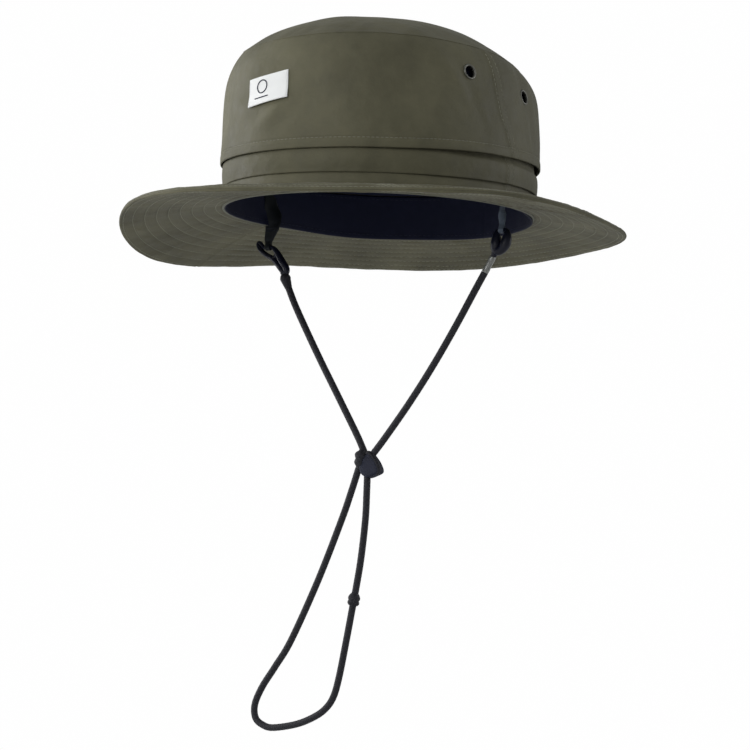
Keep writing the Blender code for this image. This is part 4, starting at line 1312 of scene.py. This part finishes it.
def make_slider(rubber, cord_cloth):
    """A soft wedge with a cord edge, two turns of cord round its upper corner, and the cords' ends in it."""
    outline = smooth_path([(x, STRAP_Y, z) for x, z in SLIDER_OUTLINE], 0.0003, closed=True)
    middle = outline.mean(0)
    rings = []
    for lean in np.radians(np.linspace(-88, 88, 29)):
        ring = middle + (outline - middle) * math.cos(lean) ** 0.13
        ring[:, 1] = STRAP_Y + SLIDER_DEPTH / 2 * math.sin(lean)
        rings.append(ring)
    body = barrel("wedge", rings, rubber, np.zeros((len(rings), len(outline) + 1, 2)))
    belongs(body, "slider", "slider_rubber", "slider_body")
    edge = smooth_path([(x - 0.0007, STRAP_Y - 0.0018, z) for x, z in SLIDER_EDGE], 0.0003)
    steps = np.arange(len(edge))
    thick = 0.0015 * np.minimum(1, np.minimum(steps, steps[::-1]) / 8 + 0.4)
    belongs(tube("wedge_edge", edge, thick, cord_cloth, 24, braid), "slider", "cord")

    past = 0.0009 * unit(COLLAR_BOTTOM - COLLAR_TOP)
    ridges = (2.4, 3.4, 3.9, 4.2, 4.1, 3.7, 3.3, 3.6, 3.9, 3.8, 3.4, 2.9, 2.2)
    collar = rod("binding", COLLAR_TOP - past, COLLAR_BOTTOM + past, ridges, cord_cloth, 40, braid)
    belongs(collar, "slider", "slider_rubber", "slider_collar")

    for name, end, before in (("left", -1, -2), ("right", -1, -2), ("loop", 0, 1), ("return", -1, -2)):
        points = strap_points(CORD_ROUTES[f"chin_cord_{name}"])
        toward = unit(points[end] - points[before])
        start = points[end] - 0.0004 * toward
        stub = rod(f"cord_end_{name}", start, start + 0.0032 * toward, (1.94, 1.94), cord_cloth, 24, braid)
        belongs(stub, "slider", "cord")


# ---------------------------------------------------------------- all of it

OLIVE = (0.088, 0.084, 0.053)
INTERLINING = (0.72, 0.72, 0.69)
# Heights and sizes: how wide each tab is, and how far the right one bends inwards
NARROW = ((-0.0108, -0.004, 0.020), (0.0034, 0.0048, 0.0050))
WIDE = ((-0.0125, -0.0095, -0.004, 0.004, 0.020), (0.0034, 0.0062, 0.0094, 0.0104, 0.0120))
STRAIGHT = ((-0.02, 0.02), (0.0, 0.0))
BOWED = (
    (-0.0108, -0.0085, -0.004, 0.0, 0.006, 0.014, 0.020),
    (0.0, 0.0006, 0.0024, 0.0032, 0.0028, 0.0006, 0.0),
)

make_camera()
make_stage()
make_lights()
cord_cloth = cord_material("cord")
make_cords(cord_cloth)

shell = cloth_material("shell", OLIVE, 0.58, 0.05, crinkle=0.9, mottle=0.20)
under_shell = cloth_material("shell_under", OLIVE, 0.62, 0.04, crinkle=0.7, mottle=0.32)
# Both thread colours are painted lighter than the cloth they sew: a painted highlight for thread catching the
# light.
olive_thread = cloth_material("olive_thread", (0.20, 0.197, 0.150), 0.6, 0.1)
brim_thread = cloth_material("brim_thread", (0.24, 0.24, 0.185), 0.6, 0.1)
navy = cloth_material("navy", (0.008, 0.010, 0.026), 0.7, 0.02, crinkle=0.3)
navy_thread = cloth_material("navy_thread", (0.016, 0.020, 0.036), 0.6, 0.02)
piping_cloth = cloth_material("piping", (0.125, 0.127, 0.10), 0.6, 0.1, crinkle=0.1)
label_cloth = cloth_material(
    "label_cloth", (0.66, 0.67, 0.665), 0.5, 0.05, thread=0.0003, crinkle=0.15, mottle=0.03
)
webbing = cloth_material("webbing", (0.070, 0.088, 0.116), 0.5, 0.2, thread=0.0006)
dark_webbing = cloth_material("dark_webbing", (0.008, 0.010, 0.012), 0.55, 0.1, thread=0.0006)
metal = glossy_material("eyelet_metal", (0.115, 0.115, 0.10), 0.40, metallic=0.8)
plastic = glossy_material("hook_plastic", (0.003, 0.004, 0.011), 0.36, specular=0.22)
clear = glossy_material("clear_sleeve", (0.13, 0.135, 0.125), 0.14, coat=1.0)
rubber = glossy_material("slider_rubber", (0.008, 0.010, 0.022), 0.6, specular=0.2)

panels = make_crown(shell, olive_thread)
make_top(shell)
make_brim(shell, under_shell, brim_thread)
make_inside(navy, navy_thread, piping_cloth)
make_label(label_cloth, navy_thread)
make_eyelets(panels, metal)
make_tab("left", PIVOT_X, NARROW, (-0.002, -0.010), STRAIGHT, webbing, navy_thread)
make_tab("right", -PIVOT_X, WIDE, (0.014, -0.004), BOWED, dark_webbing, navy_thread)
make_hooks(plastic, clear, cord_cloth)
make_knot(cord_cloth)
make_slider(rubber, cord_cloth)
give_material("brim_interlining", cloth_material("interlining", INTERLINING, 0.8, 0.0, crinkle=0.2))
